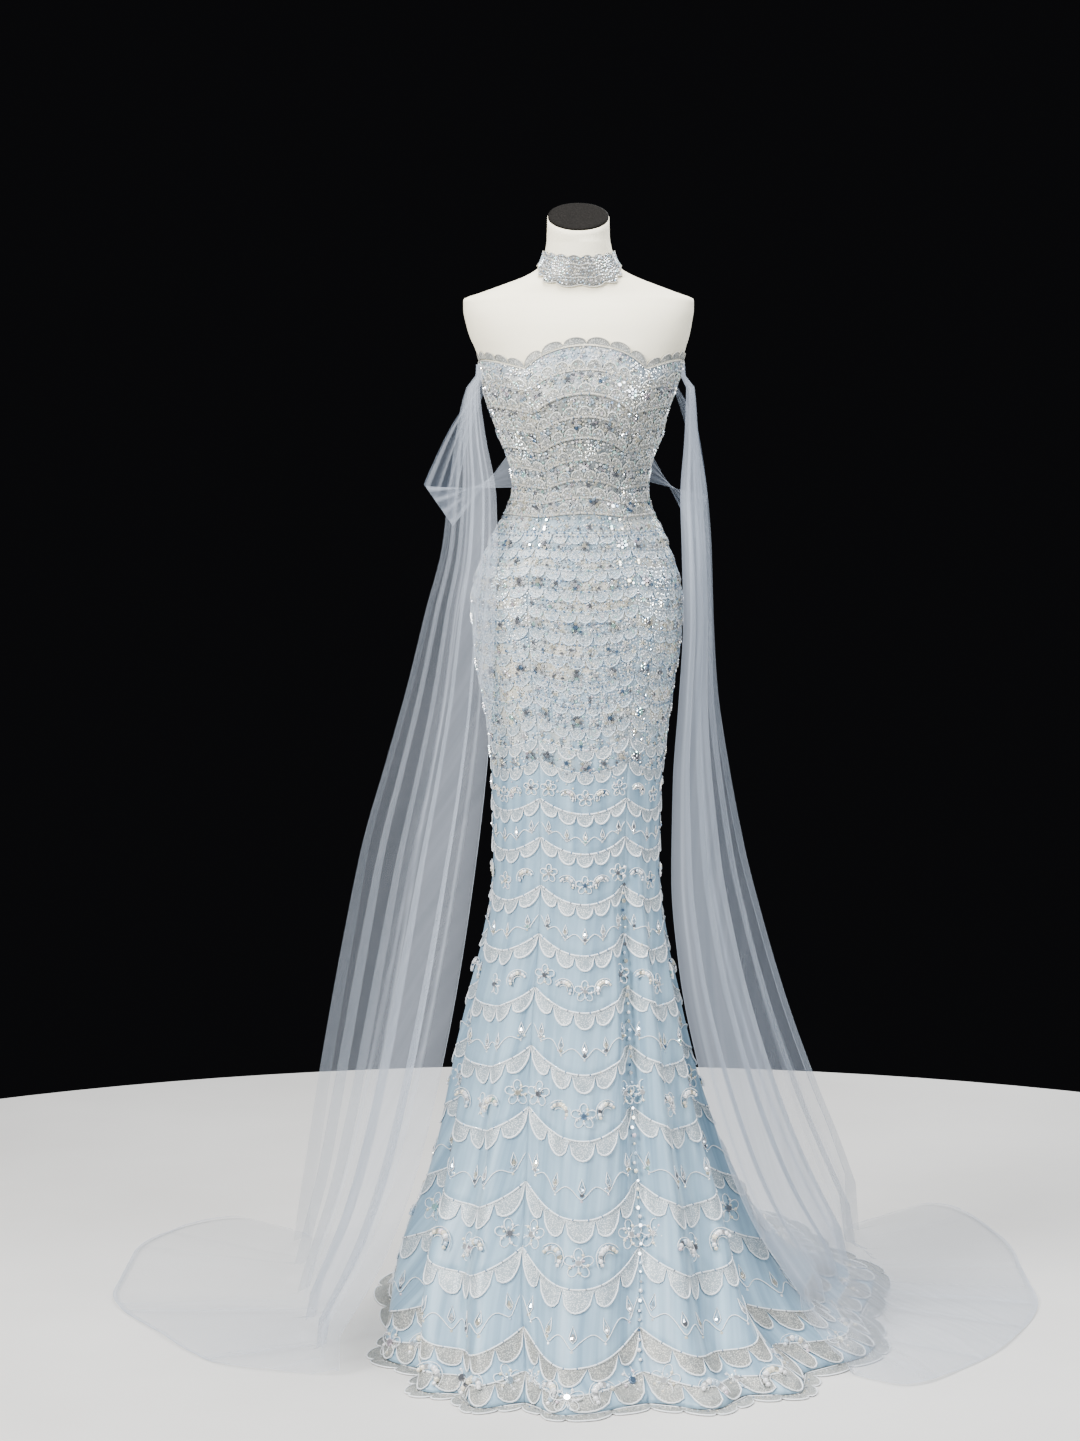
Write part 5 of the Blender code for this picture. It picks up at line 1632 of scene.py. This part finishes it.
for side, rails, pool, profile, seed in (("r", DRAPE_R, POOL_R, LAYERS_R, 0.0),
                                         ("l", DRAPE_L, POOL_L, LAYERS_L, 0.45)):
    points = drape_points(rails, pool, seed)
    rows, columns = points.shape[:2]
    along = np.linspace(0, 1, columns)[None]
    layers = layers_of(along, np.linspace(0, 1.4, rows)[:, None], profile, seed)
    heights = points[:HANGING_ROWS, :, 2]
    layers[:HANGING_ROWS] += HEAD_LAYERS * np.clip((heights - HEAD_FROM) / HEAD_HEIGHT, 0, 1)
    layers[HANGING_ROWS:] *= POOL_SHARE
    layers[-1] = HEM_LAYERS
    layers[:, (0, -1)] = EDGE_LAYERS
    tulle_sheet("tulle_drape_" + side, points, np.clip(layers, 0.12, 0.88), side == "r")

# %% Loops behind the heads
LOOP_ROWS = 46
LOOP_POINTS = 40
LOOP_LAYERS = 0.44
LOOP_EDGE_LAYERS = 0.75
LOOP_RIPPLE = 0.0045


def loop_points(rows):
    rows = np.array(rows)
    place = np.linspace(0, len(rows) - 1, LOOP_ROWS)
    smooth = [curve_through(range(len(rows)), rows[:, column])(place) for column in range(6)]
    smooth = np.stack(smooth, axis=-1)
    across = np.linspace(0, 1, LOOP_POINTS)[None, :, None]
    points = smooth[:, None, :3] * (1 - across) + smooth[:, None, 3:] * across
    points[0] = push_clear(points[0], np.full(LOOP_POINTS, LOOP_HEAD_GAP))
    points[-1] = push_clear(points[-1], np.full(LOOP_POINTS, LOOP_END_GAP))
    along = np.linspace(0, 1, LOOP_ROWS)[:, None]
    ripple = LOOP_RIPPLE * np.sin(np.pi * along) * np.sin(2 * np.pi * (3.5 * across[..., 0] + 0.4 * along))
    points[..., 1] += np.where(np.abs(along - 0.5) < 0.08, 0.3, 1.0) * ripple
    return points


for side, rows in (("r", LOOP_R), ("l", LOOP_L)):
    points = loop_points(rows)
    layers = np.full(points.shape[:2], LOOP_LAYERS)
    layers[:, (0, -1)] = LOOP_EDGE_LAYERS
    along = np.linspace(0, 1, LOOP_ROWS)[:, None]
    layers += 0.35 * np.exp(-((along - 0.5) / 0.03) ** 2) + 0.2 * np.exp(-(along / 0.1) ** 2)
    tulle_sheet("tulle_loop_" + side, points, np.clip(layers, 0.1, 0.9), side == "l")

# %% [markdown]
# ## Floor and light
#
# A pale round floor carries the gown. Four large soft lights stand left and right in front,
# above and behind, and the surroundings stay dark, because sheer tulle only shows against a
# ground that is darker than itself. The world's light and what the camera sees of it are kept
# apart.

# %% Floor
deselect_all()
bpy.ops.mesh.primitive_cylinder_add(vertices=128, radius=2.1, depth=0.02, location=(0, 0, -0.0104))
floor = bpy.context.object
floor.name = "pale_floor"
bpy.ops.object.transform_apply()
floor.data.materials.append(PALE_FLOOR)

# %% Lights
LIGHTS = (
    ("key", (-2.6, -2.6, 3.0), 1.6, 215, (1.0, 0.985, 0.96)),
    ("fill", (2.8, -2.4, 1.9), 2.0, 60, (0.95, 0.975, 1.0)),
    ("top", (0.2, -0.4, 3.6), 1.4, 80, (1.0, 1.0, 1.0)),
    ("back", (1.6, 2.8, 2.6), 1.8, 60, (0.97, 0.985, 1.0)),
)
LIT_POINT = (0, 0, 0.9)
for name, place, size, power, colour in LIGHTS:
    light = bpy.data.lights.new(name + " light", "AREA")
    light.shape = "DISK"
    light.size = size
    light.energy = power
    light.color = colour
    lamp = bpy.data.objects.new(name + " light", light)
    lamp.location = place
    x, y, z = np.array(LIT_POINT) - np.array(place)
    lamp.rotation_euler = (math.atan2(math.hypot(x, y), -z), 0, math.atan2(y, x) - math.pi / 2)
    bpy.context.collection.objects.link(lamp)

world = bpy.data.worlds.new("dark studio")
world.use_nodes = True
bpy.context.scene.world = world
tree = world.node_tree
soft = tree.nodes["Background"]
soft.inputs["Color"].default_value = (0.72, 0.76, 0.82, 1)
soft.inputs["Strength"].default_value = 0.30
seen = add_node(tree, "ShaderNodeBackground", Color=(0.008, 0.008, 0.009, 1))
ray = tree.nodes.new("ShaderNodeLightPath")
mix = tree.nodes.new("ShaderNodeMixShader")
for socket, output in zip(mix.inputs, (ray.outputs["Is Camera Ray"], soft.outputs[0], seen.outputs[0])):
    tree.links.new(output, socket)
tree.links.new(mix.outputs[0], tree.nodes["World Output"].inputs["Surface"])
bpy.context.scene.cycles.transparent_max_bounces = 40
bpy.context.scene.view_settings.look = "AgX - Medium High Contrast"
